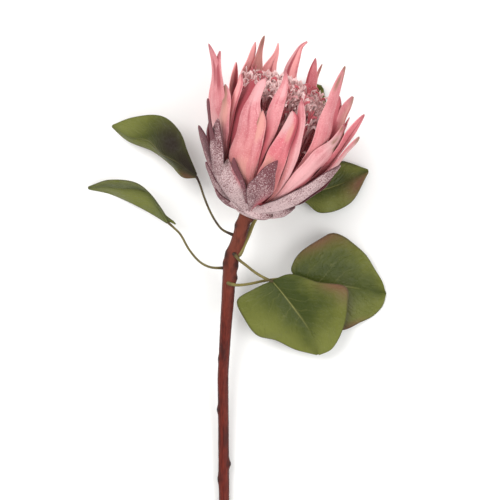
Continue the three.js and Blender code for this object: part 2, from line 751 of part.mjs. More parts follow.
function hiddenBractSolid(bract, grow = 0) {
  const line = centreLine(bract);
  const turnAt = (t) => bract.turn + bract.sway * t ** 1.5;
  const centreAt = (t) => {
    const point = line.getPoint(t);
    return bloomPoint(turnAt(t), point.x, point.y);
  };
  const middle = [];
  for (let i = 0; i <= BRACT_ROWS; i++) {
    const t = i / BRACT_ROWS;
    const centre = centreAt(t);
    const before = centreAt(Math.max(0, t - SLOPE_STEP));
    const along = centreAt(Math.min(1, t + SLOPE_STEP)).sub(before).normalize();
    const side = new THREE.Vector3().crossVectors(AXIS, radialAt(turnAt(t)));
    side.addScaledVector(along, -side.dot(along)).normalize();
    const face = new THREE.Vector3().crossVectors(side, along);
    const hug = halfWidthAt(bract, t) / line.getPoint(t).x;
    const halfAngle = hug + rad(bract.cup) * Math.max(0, (t - CURL_FROM) / (1 - CURL_FROM));
    const radius = halfWidthAt(bract, t) / halfAngle;
    const row = [];
    for (let j = 0; j <= BRACT_COLUMNS; j++) {
      const angle = halfAngle * ((2 * j) / BRACT_COLUMNS - 1);
      const place = centre.clone().addScaledVector(side, radius * Math.sin(angle));
      row.push(place.addScaledVector(face, -radius * (1 - Math.cos(angle))));
    }
    middle.push(row);
  }
  return thickened(widened(middle, grow), bract.thickness / 2 + grow);
}

// A ring of bracts joined to their cup
function bractRing(kind, drawn, hidden, cup, grow = 0) {
  return join([
    turnedSolid(cup, CUP_SIDES),
    ...drawn.map((bract) => drawnBractSolid({ ...kind, ...bract }, grow)),
    ...hidden.map((bract) => hiddenBractSolid(bract, grow)),
  ]);
}

// A solid of revolution about the bloom's axis, from a closed profile of radius and height
function turnedSolid(profile, sides) {
  const points = [...profile, profile[0]].map(([radius, height]) => new THREE.Vector2(radius, height));
  const geometry = new THREE.LatheGeometry(points, sides);
  const place = new THREE.Matrix4().makeBasis(RIGHT, AXIS, FRONT).setPosition(BLOOM_BASE);
  return toManifold(geometry.applyMatrix4(place));
}

// Each floret is a shaft that ends in a bulb, given by its share of the length and its radius there. They
// are set in a spiral, from a low and narrow ring in the middle of the bloom out to its edge.
const FLORET_PROFILE = [[0, 1.3], [0.7, 1.0], [0.88, 2.0], [1, 0.4]];
const GOLDEN_ANGLE = 137.508;
const FLORET_ROOT = { radius: 5, wider: 14, height: 56, lower: 34 };
const FLORET_TIP = { radius: 3, wider: 31, height: 101, lower: 11 };
const TIP_RADIUS_SPREAD = 2;
const TIP_HEIGHT_SPREAD = 7;

function floretEnd(end, turn, spread, radiusDraw, heightDraw) {
  const radius = end.radius + end.wider * spread + radiusDraw;
  const height = end.height - end.lower * spread ** 2 + heightDraw;
  return bloomPoint(turn, radius, height);
}

function floretSolid(root, tip) {
  const along = tip.clone().sub(root).normalize();
  return ringSolid(FLORET_PROFILE.map(([share, radius]) => (
    ringAt(root.clone().lerp(tip, share), along, FLORET_SIDES, () => radius)
  )));
}

function floretSolids() {
  const random = seededRandom(FLORET_SEED);
  const florets = [];
  for (let k = 0; k < FLORET_COUNT; k++) {
    const spread = Math.sqrt((k + 0.5) / FLORET_COUNT);
    const turn = k * GOLDEN_ANGLE;
    const radiusDraw = TIP_RADIUS_SPREAD * (random() - 0.5);
    const heightDraw = TIP_HEIGHT_SPREAD * (random() - 0.5);
    const root = floretEnd(FLORET_ROOT, turn, spread, 0, 0);
    florets.push(floretSolid(root, floretEnd(FLORET_TIP, turn, spread, radiusDraw, heightDraw)));
  }
  return florets;
}

// Each leaf is given by its midrib and its two margins, all from the stalk to the tip, and by its stalk,
// from inside the stem to the blade
const LEAVES = {
  leaf_1: {
    stalk: [
      [-12, 11, 37], [-21, 15.5, 35], [-26.5, 22.5, 33], [-31, 31, 32], [-35, 41, 31], [-38, 50, 30.5],
      [-41, 56.5, 30],
    ],
    rib: [[-40.4, 55.9, 30], [-56, 67, 28], [-67, 73, 24], [-77, 83, 21], [-93, 87, 16], [-105.5, 95, 12]],
    left: [
      [-40.4, 54.6, 29.3], [-50.5, 55, 24], [-60, 64.5, 19], [-74, 75.3, 14], [-93.5, 83.6, 10],
      [-105.4, 93.8, 11.2],
    ],
    right: [
      [-40, 57.6, 30.6], [-46.8, 74, 34], [-53, 89.5, 35], [-66, 101, 31], [-88.6, 101, 21],
      [-104.6, 95.9, 12.8],
    ],
  },
  leaf_2: {
    stalk: [
      [-18, -13.6, 31], [-30, -13, 28], [-38, -9, 25], [-46, 0, 23.5], [-53, 12, 22], [-58, 17, 21],
      [-63, 21.5, 20],
    ],
    rib: [
      [-62.9, 21.3, 20], [-70, 33, 21], [-78.4, 44.5, 19], [-97, 46.8, 13], [-113.5, 48.7, 7],
      [-124.6, 47.8, 3],
    ],
    left: [
      [-62.8, 20, 19.2], [-71.4, 25.4, 14], [-82, 31.4, 9], [-95.4, 38.1, 4], [-108.8, 43.6, 0.2],
      [-124.2, 46.8, 2],
    ],
    right: [
      [-62.6, 22.4, 20.8], [-67.3, 31.5, 27], [-76, 43, 30], [-86, 50.6, 28], [-107, 53.4, 17],
      [-124.2, 48.8, 4],
    ],
  },
  leaf_3: {
    stalk: [
      [-13.5, -5, 34], [-8, -4.4, 36], [-4.2, -9.6, 35.5], [3.2, -16.4, 33], [10, -20.6, 31.5],
      [17.5, -24, 30],
    ],
    rib: [[16.6, -23.4, 30], [24.2, -32.3, 28.5], [33, -43.7, 25], [43, -57.5, 20], [56.8, -78, 12]],
    left: [[17.6, -22.4, 30.3], [41.6, -19, 30], [72.5, -27, 24], [74, -50, 19], [58, -77.6, 12]],
    right: [[15.5, -23.6, 30], [-10.5, -38, 27], [2, -65, 20], [31, -77.5, 13], [55.6, -79, 11.8]],
  },
  leaf_4: {
    stalk: [
      [-14.5, -24, 29], [-9, -25.6, 27.5], [-2, -26.8, 24], [12, -24, 19], [24, -22, 17.5], [38, -23, 17],
    ],
    rib: [[36.6, -22.9, 17], [53.4, -25.2, 15], [76.6, -28.3, 9], [104.8, -33.1, 1.2]],
    left: [[36.4, -21.4, 17.6], [32, -7, 18.5], [61, 14, 15], [88, -2, 7], [104.4, -31.6, 1.6]],
    right: [[37.3, -24.2, 16.6], [39, -44, 12], [66, -63, 4.5], [92, -50, 0.5], [104.4, -34.6, 1]],
  },
  leaf_5: {
    stalk: [
      [-10.5, 2, 34.5], [-5.5, 3.5, 35], [-1.3, 10.8, 32], [3.1, 21.9, 26], [9, 29, 18], [17, 35.5, 12],
      [27.5, 41, 9.5],
    ],
    rib: [[26.3, 40.4, 9.5], [42, 43, 9.5], [65.2, 49, 8], [91, 60.6, 5]],
    left: [[27.2, 41.6, 9], [34, 52, 4], [48, 64.5, 4], [68.5, 68.6, 4.5], [90.6, 62, 5]],
    right: [[27, 39.2, 9.4], [40.5, 37.4, 9.5], [54, 28.4, 9.5], [76.5, 35.6, 8], [90.8, 59.2, 4.8]],
  },
  leaf_6: {
    stalk: [
      [-6.5, 12, 36], [-7.5, 13, 28.5], [-8.5, 20, 22], [-9.7, 32, 18], [-16.5, 53, 10], [-15.4, 79, 5],
      [-5.5, 101.5, 4],
    ],
    rib: [[-6.4, 100.6, 4], [13, 107, 3], [34, 113.5, 2.6], [55.8, 125, 3]],
    left: [[-6.6, 102, 3.8], [9, 118, 2.6], [32, 124, 2.4], [46, 128.5, 3], [55, 126.6, 3]],
    right: [[-5.6, 99.4, 3.8], [16, 95, 1.8], [42, 96, 2], [58, 108, 2.8], [56.6, 124, 3]],
  },
};
// How far each half of a blade bellies up between midrib and margin, as a share of its width
const BLADE_BELLY = 0.06;
// A stalk widens by this share where it leaves the stem, and has narrowed after this share of its length
const STALK_FLARE = 0.9;
const FLARE_LENGTH = 0.07;

function bladeSolid(leaf) {
  const rib = curveThrough(leaf.rib);
  const margins = [curveThrough(leaf.left), curveThrough(leaf.right)];
  const middle = [];
  for (let i = 0; i <= BLADE_ROWS; i++) {
    const t = i / BLADE_ROWS;
    const row = [];
    for (let j = 0; j <= BLADE_COLUMNS; j++) {
      const across = (2 * j) / BLADE_COLUMNS - 1;
      const share = Math.abs(across);
      const centre = rib.getPointAt(t);
      const margin = margins[across < 0 ? 0 : 1].getPointAt(t);
      const point = centre.clone().lerp(margin, share);
      point.z += 4 * BLADE_BELLY * share * (1 - share) * centre.distanceTo(margin);
      row.push(point);
    }
    middle.push(row);
  }
  return thickened(middle, LEAF_THICKNESS / 2);
}

function stalkSolid(leaf, grow = 0) {
  const radiusAt = (t) => STALK_RADIUS * (1 + STALK_FLARE * Math.exp(-t / FLARE_LENGTH)) + grow;
  return tubeSolid(leaf.stalk, radiusAt, STALK_SIDES, 2 * (leaf.stalk.length - 1));
}

// The stem's centre line, from inside the cup of the bloom to the cut end
const STEM_LINE = [
  [-1.9, 29.5, 42], [-4.6, 21, 39.8], [-8, 10, 36.8], [-12.9, -4.5, 33], [-15, -13, 30.8], [-17, -39, 25.5],
  [-19.2, -72, 18.5], [-20.6, -99, 14.5], [-20.4, -122, 11.5], [-20.2, -163, 7], [-19.9, -192, 4.6],
  [-20, -216, 3.7],
];
const STEM_LEFT = 0;
const STEM_RIGHT = Math.PI;
// Knots and leaf scars: their place along Y, the side they stand out on, how far, and their half length
const STEM_KNOTS = [
  { y: 24.5, side: STEM_LEFT, proud: 1.1, length: 2.6 },
  { y: 18, side: STEM_RIGHT, proud: 0.9, length: 3 },
  { y: -3.5, side: STEM_RIGHT, proud: 1.3, length: 4 },
  { y: -10.5, side: STEM_RIGHT, proud: 1.0, length: 3 },
  { y: -12, side: STEM_LEFT, proud: 1.0, length: 4 },
  { y: -21, side: STEM_LEFT, proud: 1.5, length: 3 },
  { y: -83, side: STEM_RIGHT, proud: 0.5, length: 2.5 },
  { y: -122, side: STEM_RIGHT, proud: 1.0, length: 3 },
  { y: -164, side: STEM_LEFT, proud: 1.5, length: 3 },
  { y: -176, side: STEM_RIGHT, proud: 0.8, length: 4 },
];
// The stem thins between these shares of its length, and by END_TAPER more towards its cut end
const STEM_THICK_UNTIL = 0.12;
const STEM_THIN_FROM = 0.5;
const END_TAPER = 0.35;
// The higher, the narrower a knot is round the stem
const KNOT_SHARPNESS = 3;

function stemRadius(t, angle, centre) {
  const slim = THREE.MathUtils.smoothstep(t, STEM_THICK_UNTIL, STEM_THIN_FROM);
  let radius = THREE.MathUtils.lerp(STEM_TOP_RADIUS, STEM_END_RADIUS + END_TAPER, slim) - END_TAPER * t;
  for (const knot of STEM_KNOTS) {
    const reach = Math.exp(-(((centre.y - knot.y) / knot.length) ** 2));
    radius += knot.proud * reach * Math.max(0, Math.cos(angle - knot.side)) ** KNOT_SHARPNESS;
  }
  return radius;
}

function stemSolid(grow = 0) {
  const radiusAt = (t, angle, centre) => stemRadius(t, angle, centre) + grow;
  return tubeSolid(STEM_LINE, radiusAt, STEM_SIDES, STEM_STEPS);
}

const materials = {
  stem: new THREE.MeshStandardMaterial({ color: 0x6b2a26, roughness: 0.6, metalness: 0 }),
  leaf: new THREE.MeshStandardMaterial({ color: 0x5f6e38, roughness: 0.5, metalness: 0 }),
  mauve: new THREE.MeshStandardMaterial({ color: 0xa98a94, roughness: 0.95, metalness: 0 }),
  pink: new THREE.MeshStandardMaterial({ color: 0xdf8f92, roughness: 0.85, metalness: 0 }),
  floret: new THREE.MeshStandardMaterial({ color: 0xe2c4c6, roughness: 0.95, metalness: 0 }),
};

const farPink = hiddenPinkBracts();
const farMauve = hiddenMauveBracts();
const mauveRing = bractRing(MAUVE_KIND, MAUVE_BRACTS, farMauve, MAUVE_CUP);
const mauveRoom = bractRing(MAUVE_KIND, MAUVE_BRACTS, farMauve, MAUVE_CUP, GAP);
const pinkRing = bractRing(PINK_KIND, PINK_BRACTS, farPink, PINK_CUP);
const pinkRoom = bractRing(PINK_KIND, PINK_BRACTS, farPink, PINK_CUP, GAP);
const floretMass = join([turnedSolid(FLORET_CONE, CONE_SIDES), ...floretSolids()]);
const sockets = join(Object.values(LEAVES).map((leaf) => stalkSolid(leaf, GAP)));

const flower = new THREE.Group();

function addPiece(name, solid, material) {
  const mesh = new THREE.Mesh(toGeometry(solid), material);
  mesh.name = name;
  flower.add(mesh);
}

addPiece('stem', aboveSurface(stemSolid().subtract(sockets)), materials.stem);
for (const [name, leaf] of Object.entries(LEAVES)) {
  addPiece(name, aboveSurface(bladeSolid(leaf).add(stalkSolid(leaf))), materials.leaf);
}
addPiece('bracts_mauve', aboveSurface(mauveRing.subtract(stemSolid(GAP))), materials.mauve);
addPiece('bracts_pink', aboveSurface(pinkRing.subtract(mauveRoom)), materials.pink);
addPiece('florets', largestBody(floretMass.subtract(pinkRoom)), materials.floret);

// The origin goes under the middle of the flower's box, on the surface
const box = new THREE.Box3().setFromObject(flower);
flower.position.set(-(box.min.x + box.max.x) / 2, -(box.min.y + box.max.y) / 2, -box.min.z);

export default flower;
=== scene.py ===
import json
import math

import bpy
import numpy as np
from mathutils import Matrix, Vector, noise

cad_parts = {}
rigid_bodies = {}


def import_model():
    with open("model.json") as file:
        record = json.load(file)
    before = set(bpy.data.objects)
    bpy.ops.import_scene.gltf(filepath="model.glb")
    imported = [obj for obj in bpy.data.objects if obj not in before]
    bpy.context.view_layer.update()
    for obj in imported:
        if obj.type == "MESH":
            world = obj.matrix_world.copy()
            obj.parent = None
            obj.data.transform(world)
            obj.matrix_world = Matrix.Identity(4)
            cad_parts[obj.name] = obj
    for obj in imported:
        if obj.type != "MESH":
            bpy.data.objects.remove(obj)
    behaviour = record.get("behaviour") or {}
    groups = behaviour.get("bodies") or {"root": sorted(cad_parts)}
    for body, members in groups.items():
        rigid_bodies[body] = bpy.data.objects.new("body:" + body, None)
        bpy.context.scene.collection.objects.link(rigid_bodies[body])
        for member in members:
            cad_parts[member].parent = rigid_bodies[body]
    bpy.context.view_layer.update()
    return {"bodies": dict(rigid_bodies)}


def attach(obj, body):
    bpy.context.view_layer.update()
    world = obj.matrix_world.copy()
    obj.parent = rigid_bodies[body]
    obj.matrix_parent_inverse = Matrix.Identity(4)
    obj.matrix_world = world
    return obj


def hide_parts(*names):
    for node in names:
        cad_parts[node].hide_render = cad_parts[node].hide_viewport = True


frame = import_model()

bl_info = {
    "name": "Protea Flower",
    "version": (1, 0, 0),
    "blender": (4, 5, 0),
    "location": "View3D > Sidebar > Protea",
    "description": "Models a cut protea flower: a woody stem, six leaves and one open bloom",
    "category": "Add Mesh",
}

# The flower is drawn in millimetres, with X to its right, Y along the stem and Z up from the surface,
# and PLACE moves the drawing to the frame, whose origin is under the middle of the flower.
MM = 0.001
PLACE = np.array((9.890, 28.158, 0.0))
UP = np.array((0.0, 0.0, 1.0))
# Points of a seam are nearer to each other than this, in metres
SEAM = 0.000002
# Faces that meet at a sharper angle than this keep their edge
SMOOTH_ANGLE = math.radians(60)


def linear(code):
    """The linear colour of an sRGB hex value."""
    shares = [int(code[i : i + 2], 16) / 255 for i in (1, 3, 5)]
    return tuple(c / 12.92 if c <= 0.04045 else ((c + 0.055) / 1.055) ** 2.4 for c in shares)


def opaque(colour):
    """A colour for a node, from an sRGB hex value or from a setting, which is linear already."""
    return (*(linear(colour) if isinstance(colour, str) else colour), 1.0)


def length_setting(name, description, millimetres):
    return bpy.props.FloatProperty(
        name=name, description=description, default=millimetres * MM, unit="LENGTH")


def angle_setting(name, description, degrees):
    return bpy.props.FloatProperty(
        name=name, description=description, default=math.radians(degrees), subtype="ANGLE", unit="ROTATION")


def colour_setting(name, description, code):
    return bpy.props.FloatVectorProperty(
        name=name, description=description, default=linear(code), subtype="COLOR")


class BloomSettings(bpy.types.PropertyGroup):
    lean: angle_setting("Lean", "How far the bloom leans to the right of the stem", 18)
    tilt: angle_setting("Tilt", "How far the bloom rises from the surface it lies on", 15)
    pink_thickness: length_setting("Pink Bract Thickness", "Thickness of the long pink bracts", 0.9)
    mauve_thickness: length_setting("Mauve Bract Thickness", "Thickness of the short mauve bracts", 1.2)
    floret_count: bpy.props.IntProperty(
        name="Florets", description="How many florets fill the bloom", default=250, min=1)
    face: colour_setting("Pink Face", "Colour of a pink bract's outer face", "#D89698")
    inside: colour_setting("Pink Inside", "Colour of a pink bract's inner face", "#A83C48")
    plum: colour_setting("Plum Ground", "Ground colour of a mauve bract", "#54282F")
    flock: colour_setting("Flock", "Colour of the flock on the mauve bracts", "#C8ADAD")
    floret: colour_setting("Floret", "Colour of the florets' heads", "#EECAC8")


class StemSettings(bpy.types.PropertyGroup):
    top_radius: length_setting("Top Radius", "Radius of the stem under the bloom", 5.25)
    end_radius: length_setting("End Radius", "Radius of the stem at its cut end", 4.0)
    bark: colour_setting("Bark", "Ground colour of the bark", "#4E1610")


class LeafSettings(bpy.types.PropertyGroup):
    thickness: length_setting("Thickness", "Thickness of a leaf blade", 0.7)
    stalk_radius: length_setting("Stalk Radius", "Radius of a leaf stalk at its middle", 0.95)
    green: colour_setting("Green", "Colour along the middle of a blade", "#363F11")
    olive: colour_setting("Olive", "Colour towards the margins of a blade", "#5E6224")


class StageSettings(bpy.types.PropertyGroup):
    camera_height: length_setting("Camera Height", "Height of the camera above the surface", 1541)
    photo_width: length_setting(
        "Photo Width", "What the photo's width measures at the height of the bloom's base", 375)
    key_power: bpy.props.FloatProperty(
        name="Key Power", description="Power of the main soft box in watts", default=17)
    fill_power: bpy.props.FloatProperty(
        name="Fill Power", description="Power of the second soft box in watts", default=10.5)
    sky: bpy.props.FloatProperty(
        name="Sky", description="Strength of the even light from all round", default=0.76)


def unit(vectors):
    return vectors / np.linalg.norm(vectors, axis=-1, keepdims=True)


def seeded(seed):
    """Draws repeatable numbers between 0 and 1."""
    state = seed
    while True:
        state = state * 16807 % 2147483647
        yield state / 2147483647


def smooth(low, high, values):
    share = np.clip((values - low) / (high - low), 0, 1)
    return share * share * (3 - 2 * share)


class Line:
    """A smooth line through points, read by its share of length from 0 to 1."""

    def __init__(self, points, steps=40):
        p = np.array(points, float)
        p = np.vstack([2 * p[0] - p[1], p, 2 * p[-1] - p[-2]])
        x = np.linspace(0, 1, steps, endpoint=False)[:, None]
        stretches = []
        for a, b, c, d in zip(p[:-3], p[1:-2], p[2:-1], p[3:]):
            before, here, after = (np.linalg.norm(e) ** 0.5 for e in (b - a, c - b, d - c))
            start = ((b - a) / before - (c - a) / (before + here) + (c - b) / here) * here
            end = ((c - b) / here - (d - b) / (here + after) + (d - c) / after) * here
            stretches.append(
                (2 * x**3 - 3 * x**2 + 1) * b + (x**3 - 2 * x**2 + x) * start
                + (3 * x**2 - 2 * x**3) * c + (x**3 - x**2) * end)
        self.points = np.vstack([*stretches, p[-2]])
        lengths = np.cumsum(np.linalg.norm(np.diff(self.points, axis=0), axis=1))
        self.length = lengths[-1]
        self.shares = np.concatenate([[0], lengths]) / self.length

    def at(self, t):
        return np.stack([np.interp(t, self.shares, self.points[:, k]) for k in range(3)], axis=-1)

    def along(self, t):
        return unit(self.at(np.minimum(t + 0.01, 1)) - self.at(np.maximum(t - 0.01, 0)))


class Bloom:
    """The bloom's own axes: along it, to its right and towards the side that faces up."""

    def __init__(self, settings):
        lean, tilt = settings.lean, settings.tilt
        self.base = np.array((1.1, 26.6, 41.0))
        self.axis = np.array(
            (math.sin(lean) * math.cos(tilt), math.cos(lean) * math.cos(tilt), math.sin(tilt)))
        self.right = np.array((math.cos(lean), -math.sin(lean), 0.0))
        self.front = np.cross(self.right, self.axis)

    def radial(self, turn):
        angle = np.radians(np.asarray(turn, float))[..., None]
        return self.front * np.cos(angle) + self.right * np.sin(angle)

    def point(self, turn, radius, height):
        radius, height = np.asarray(radius, float)[..., None], np.asarray(height, float)[..., None]
        return self.base + self.axis * height + self.radial(turn) * radius

    def height(self, places):
        return (places - self.base) @ self.axis

    def away(self, places):
        """The way from the axis to each place."""
        return places - self.base - self.axis * self.height(places)[:, None]


def deselect():
    if bpy.context.object and bpy.context.object.mode != "OBJECT":
        bpy.ops.object.mode_set(mode="OBJECT")
    bpy.ops.object.select_all(action="DESELECT")


def select(*pieces):
    deselect()
    for piece in pieces:
        piece.select_set(True)
    bpy.context.view_layer.objects.active = pieces[0]


def flat_sheet(name, columns, rows):
    """A flat sheet to shape: its vertices' X runs from -1 to 1 across it and Y from -1 to 1 along it."""
    deselect()
    bpy.ops.mesh.primitive_grid_add(x_subdivisions=columns, y_subdivisions=rows, size=2, calc_uvs=True)
    sheet = bpy.context.object
    sheet.name = name
    sheet.data.name = name
    return sheet


def twin(piece, name):
    """A copy of a piece with a mesh of its own."""
    select(piece)
    bpy.ops.object.duplicate(linked=False)
    bpy.context.object.name = name
    return bpy.context.object


def places(piece):
    found = np.empty(len(piece.data.vertices) * 3)
    piece.data.vertices.foreach_get("co", found)
    return found.reshape(-1, 3)


def shares(sheet):
    """Each vertex's place across a flat sheet, from -1 to 1, and along it, from 0 to 1."""
    found = places(sheet)
    return found[:, 0], (found[:, 1] + 1) / 2


def move_to(piece, millimetres):
    """Puts each vertex at its place in the drawing."""
    piece.data.vertices.foreach_set("co", ((millimetres + PLACE) * MM).ravel())
    piece.data.update()


def mark(piece, name, values):
    """Keeps one number for each vertex, which a material reads."""
    layer = piece.data.attributes.new(name, "FLOAT", "POINT")
    layer.data.foreach_set("value", np.broadcast_to(values, len(piece.data.vertices)).astype(np.float32))


def modify(piece, kind, **settings):
    select(piece)
    modifier = piece.modifiers.new(kind.title(), kind)
    for name, value in settings.items():
        setattr(modifier, name, value)
    bpy.ops.object.modifier_apply(modifier=modifier.name)


def join(pieces, name):
    select(*pieces)
    if len(pieces) > 1:
        bpy.ops.object.join()
    joined = bpy.context.object
    joined.name = name
    joined.data.name = name
    return joined


def closed_tube(tube, ring_sides):
    """Merges a rolled sheet's seam, closes its ends and turns its faces out."""
    select(tube)
    bpy.ops.object.mode_set(mode="EDIT")
    bpy.ops.mesh.select_all(action="SELECT")
    bpy.ops.mesh.remove_doubles(threshold=SEAM)
    bpy.ops.mesh.fill_holes(sides=ring_sides)
    bpy.ops.mesh.select_all(action="SELECT")
    bpy.ops.mesh.normals_make_consistent(inside=False)
    bpy.ops.object.mode_set(mode="OBJECT")
    return tube


def tube_round(name, line, radius_at, sides, steps):
    """A sheet rolled round a line. radius_at gives the radius from share along, angle and centre."""
    tube = flat_sheet(name, sides, steps)
    across, t = shares(tube)
    angle = math.pi * (across + 1)
    centre, along = line.at(t), line.along(t)
    side = unit(np.cross(UP, along))
    up = np.cross(along, side)
    radius = radius_at(t, angle, centre)[:, None]
    ring = side * np.cos(angle)[:, None] + up * np.sin(angle)[:, None]
    return tube, centre + ring * radius, t, angle


def turned(name, bloom, profile, sides, steps):
    """A solid of revolution about the bloom's axis, from a closed profile of radius and height."""
    corners = np.array([*profile, profile[0]], float)
    lengths = np.concatenate([[0], np.cumsum(np.linalg.norm(np.diff(corners, axis=0), axis=1))])
    open_end = lengths[-2]
    tube = flat_sheet(name, sides, steps)
    across, t = shares(tube)
    radius = np.interp(t * open_end, lengths, corners[:, 0])
    height = np.interp(t * open_end, lengths, corners[:, 1])
    move_to(tube, bloom.point(180 * across, radius, height))
    return closed_tube(tube, sides)


def rest_on_surface(found, clearance):
    """Lifts what would reach below the surface on to it, as soft material gives where it is pressed."""
    found[:, 2] = np.where(found[:, 2] < clearance, clearance, found[:, 2])
    return found


def add_node(tree, kind, inputs=None, output=0, **settings):
    """Adds a shader node, sets or links the inputs given by name or number, and gives one of its outputs."""
    node = tree.nodes.new("ShaderNode" + kind)
    for name, value in settings.items():
        setattr(node, name, value)
    for key, value in (inputs or {}).items():
        if isinstance(value, bpy.types.NodeSocket):
            tree.links.new(value, node.inputs[key])
        else:
            node.inputs[key].default_value = value
    return node.outputs[output]


def new_material(name, roughness, specular=0.5, sheen=0.0, sheen_roughness=0.5, sheen_tint="#FFFFFF"):
    material = bpy.data.materials.new(name)
    material.use_nodes = True
    inputs = material.node_tree.nodes["Principled BSDF"].inputs
    inputs["Roughness"].default_value = roughness
    inputs["Specular IOR Level"].default_value = specular
    inputs["Sheen Weight"].default_value = sheen
    inputs["Sheen Roughness"].default_value = sheen_roughness
    inputs["Sheen Tint"].default_value = opaque(sheen_tint)
    return material, material.node_tree


def sheet_coordinates(tree):
    """Where a point lies across its sheet, from 0 to 1, along it, from 0 to 1, and how near an edge, to 1."""
    spot = add_node(tree, "SeparateXYZ", {0: add_node(tree, "UVMap")}).node
    centred = add_node(tree, "Math", {0: spot.outputs[0], 1: 2.0, 2: -1.0}, operation="MULTIPLY_ADD")
    return spot.outputs[0], spot.outputs[1], add_node(tree, "Math", {0: centred}, operation="ABSOLUTE")


def stretched_clouds(tree, way, scales, detail, roughness):
    """A cloudy pattern with a scale of its own in each direction."""
    stretched = add_node(tree, "VectorMath", {0: way, 1: scales}, operation="MULTIPLY")
    return add_node(
        tree, "TexNoise", {"Vector": stretched, "Scale": 1.0, "Detail": detail, "Roughness": roughness})


def paint_over(tree, ground, layers):
    """Lays colours over a ground. Each layer reads a pattern, starts at one value of it, is full at another,
    and then covers a share of what lies under it."""
    colour = opaque(ground)
    for pattern, start, full, share, paint in layers:
        cover = add_node(tree, "MapRange", {0: pattern, 1: start, 2: full, 4: share})
        colour = add_node(tree, "Mix", {0: cover, 6: colour, 7: opaque(paint)}, 2, data_type="RGBA")
    return colour


def dress(material, colour, reliefs):
    """Gives a material its colour and its relief, from strengths, depths in metres and patterns."""
    tree = material.node_tree
    under = {}
    for strength, depth, pattern in reliefs:
        normal = add_node(tree, "Bump", {"Strength": strength, "Distance": depth, "Height": pattern, **under})
        under = {"Normal": normal}
    shader = tree.nodes["Principled BSDF"]
    tree.links.new(colour, shader.inputs["Base Color"])
    tree.links.new(normal, shader.inputs["Normal"])
    return material


# What is painted on a bract, each kept on its mesh as a number from 0 to 1, and its colour on pink cloth
# The light pink #FFB2B0 is painted light, laid on faces that lie in shade
PAINTS = {
    # red is partly crimson dye and partly painted shade, in folds and in gaps between bracts
    "painted_light": "#FFB2B0", "frost": "#CFA3A2", "peach": "#D29288", "pale": "#DDA3A5", "red": "#9C3843",
    "inside": "#66202A", "brown": "#946C58"}


# Flocked polyester cloth, cut, dyed and heat-pressed into shape: a dry, velvety face with a soft sheen,
# dyed unevenly, with loose pale flock on it and brown spray on some tips. Painted shade darkens its creases,
# and a painted highlight runs along its edges.
def pink_cloth(settings):
    material, tree = new_material(
        "Flocked Polyester Pink", 0.9, sheen=0.16, sheen_roughness=0.45, sheen_tint="#FFE4E0")
    across, along, edge = sheet_coordinates(tree)
    number, tone, *paints = (
        add_node(tree, "Attribute", None, "Fac", attribute_name=name) for name in ("number", "tone", *PAINTS))
    place = add_node(tree, "TexCoord", None, "Object")
    long_way = add_node(tree, "CombineXYZ", {0: across, 1: along, 2: number})
    # Streaks about 3 mm wide that run the length of the bract: of dye, and where darkest, of painted shade in
    # creases
    streaks = stretched_clouds(tree, long_way, (5.0, 1.2, 3.7), 3.0, 0.6)
    # Clouds of dye about 8 mm wide
    clouds = add_node(tree, "TexNoise", {"Vector": place, "Scale": 130.0, "Detail": 4.0, "Roughness": 0.6})
    # Flock grains, drawn 1 mm across because real ones would be too fine to show
    grains = add_node(tree, "TexNoise", {"Vector": place, "Scale": 950.0, "Detail": 2.0, "Roughness": 0.7})
    dyed = add_node(tree, "Math", {0: streaks, 1: 0.9, 2: clouds}, operation="MULTIPLY_ADD")
    worn = add_node(tree, "Math", {0: grains, 1: 0.7, 2: dyed}, operation="MULTIPLY_ADD")
    layers = [
        (worn, 1.05, 1.6, 1.0, settings.face), (tone, 0.0, 1.0, 0.7, "#D05866"),
        # The dye turns to peach towards the foot of each bract
        (along, 0.65, 0.2, 0.75, "#C87872"),
        # Painted shade in the creases, where the streaks are darkest, and a painted highlight along the edges
        (streaks, 0.42, 0.3, 0.55, "#A8444F"), (edge, 0.88, 1.0, 0.4, "#E0A6A6"),
        (grains, 0.6, 0.72, 0.35, "#EEC4C4"), (along, 0.94, 1.0, 0.6, "#8E4A52")]
    # Of these paints, the light pink is painted light and red is partly painted shade
    for paint, code in zip(paints, PAINTS.values()):
        # Each patch of paint has a ragged, sprayed edge
        ragged = add_node(tree, "Math", {0: worn, 1: 0.45, 2: paint}, operation="MULTIPLY_ADD")
        layers.append((ragged, 0.8, 1.3, 0.85, code))
    # Creases pressed into the cloth, about 1 mm wide
    pressed = stretched_clouds(tree, long_way, (16.0, 2.0, 9.0), 2.0, 0.5)
    return dress(
        material, paint_over(tree, "#C06E75", layers), [(0.6, 0.0006, pressed), (0.7, 0.0004, grains)])


# The same cloth's inner face, dyed a strong crimson and left without flock, so it is smoother and darker.
def crimson_cloth(settings):
    material, tree = new_material(
        "Dyed Polyester Crimson", 0.7, sheen=0.2, sheen_roughness=0.4, sheen_tint="#FFB4B4")
    across, along, edge = sheet_coordinates(tree)
    tone = add_node(tree, "Attribute", None, "Fac", attribute_name="tone")
    long_way = add_node(tree, "CombineXYZ", {0: across, 1: along, 2: tone})
    # Streaks of dye about 1.5 mm wide
    streaks = stretched_clouds(tree, long_way, (12.0, 1.6, 7.0), 3.0, 0.6)
    colour = paint_over(tree, settings.inside, [
        (streaks, 0.35, 0.7, 0.7, "#C65B66"), (along, 0.55, 0.2, 0.85, "#6E1F2B"),
        (edge, 0.82, 1.0, 0.7, "#DC8A90")])
    return dress(material, colour, [(0.5, 0.0004, streaks)])
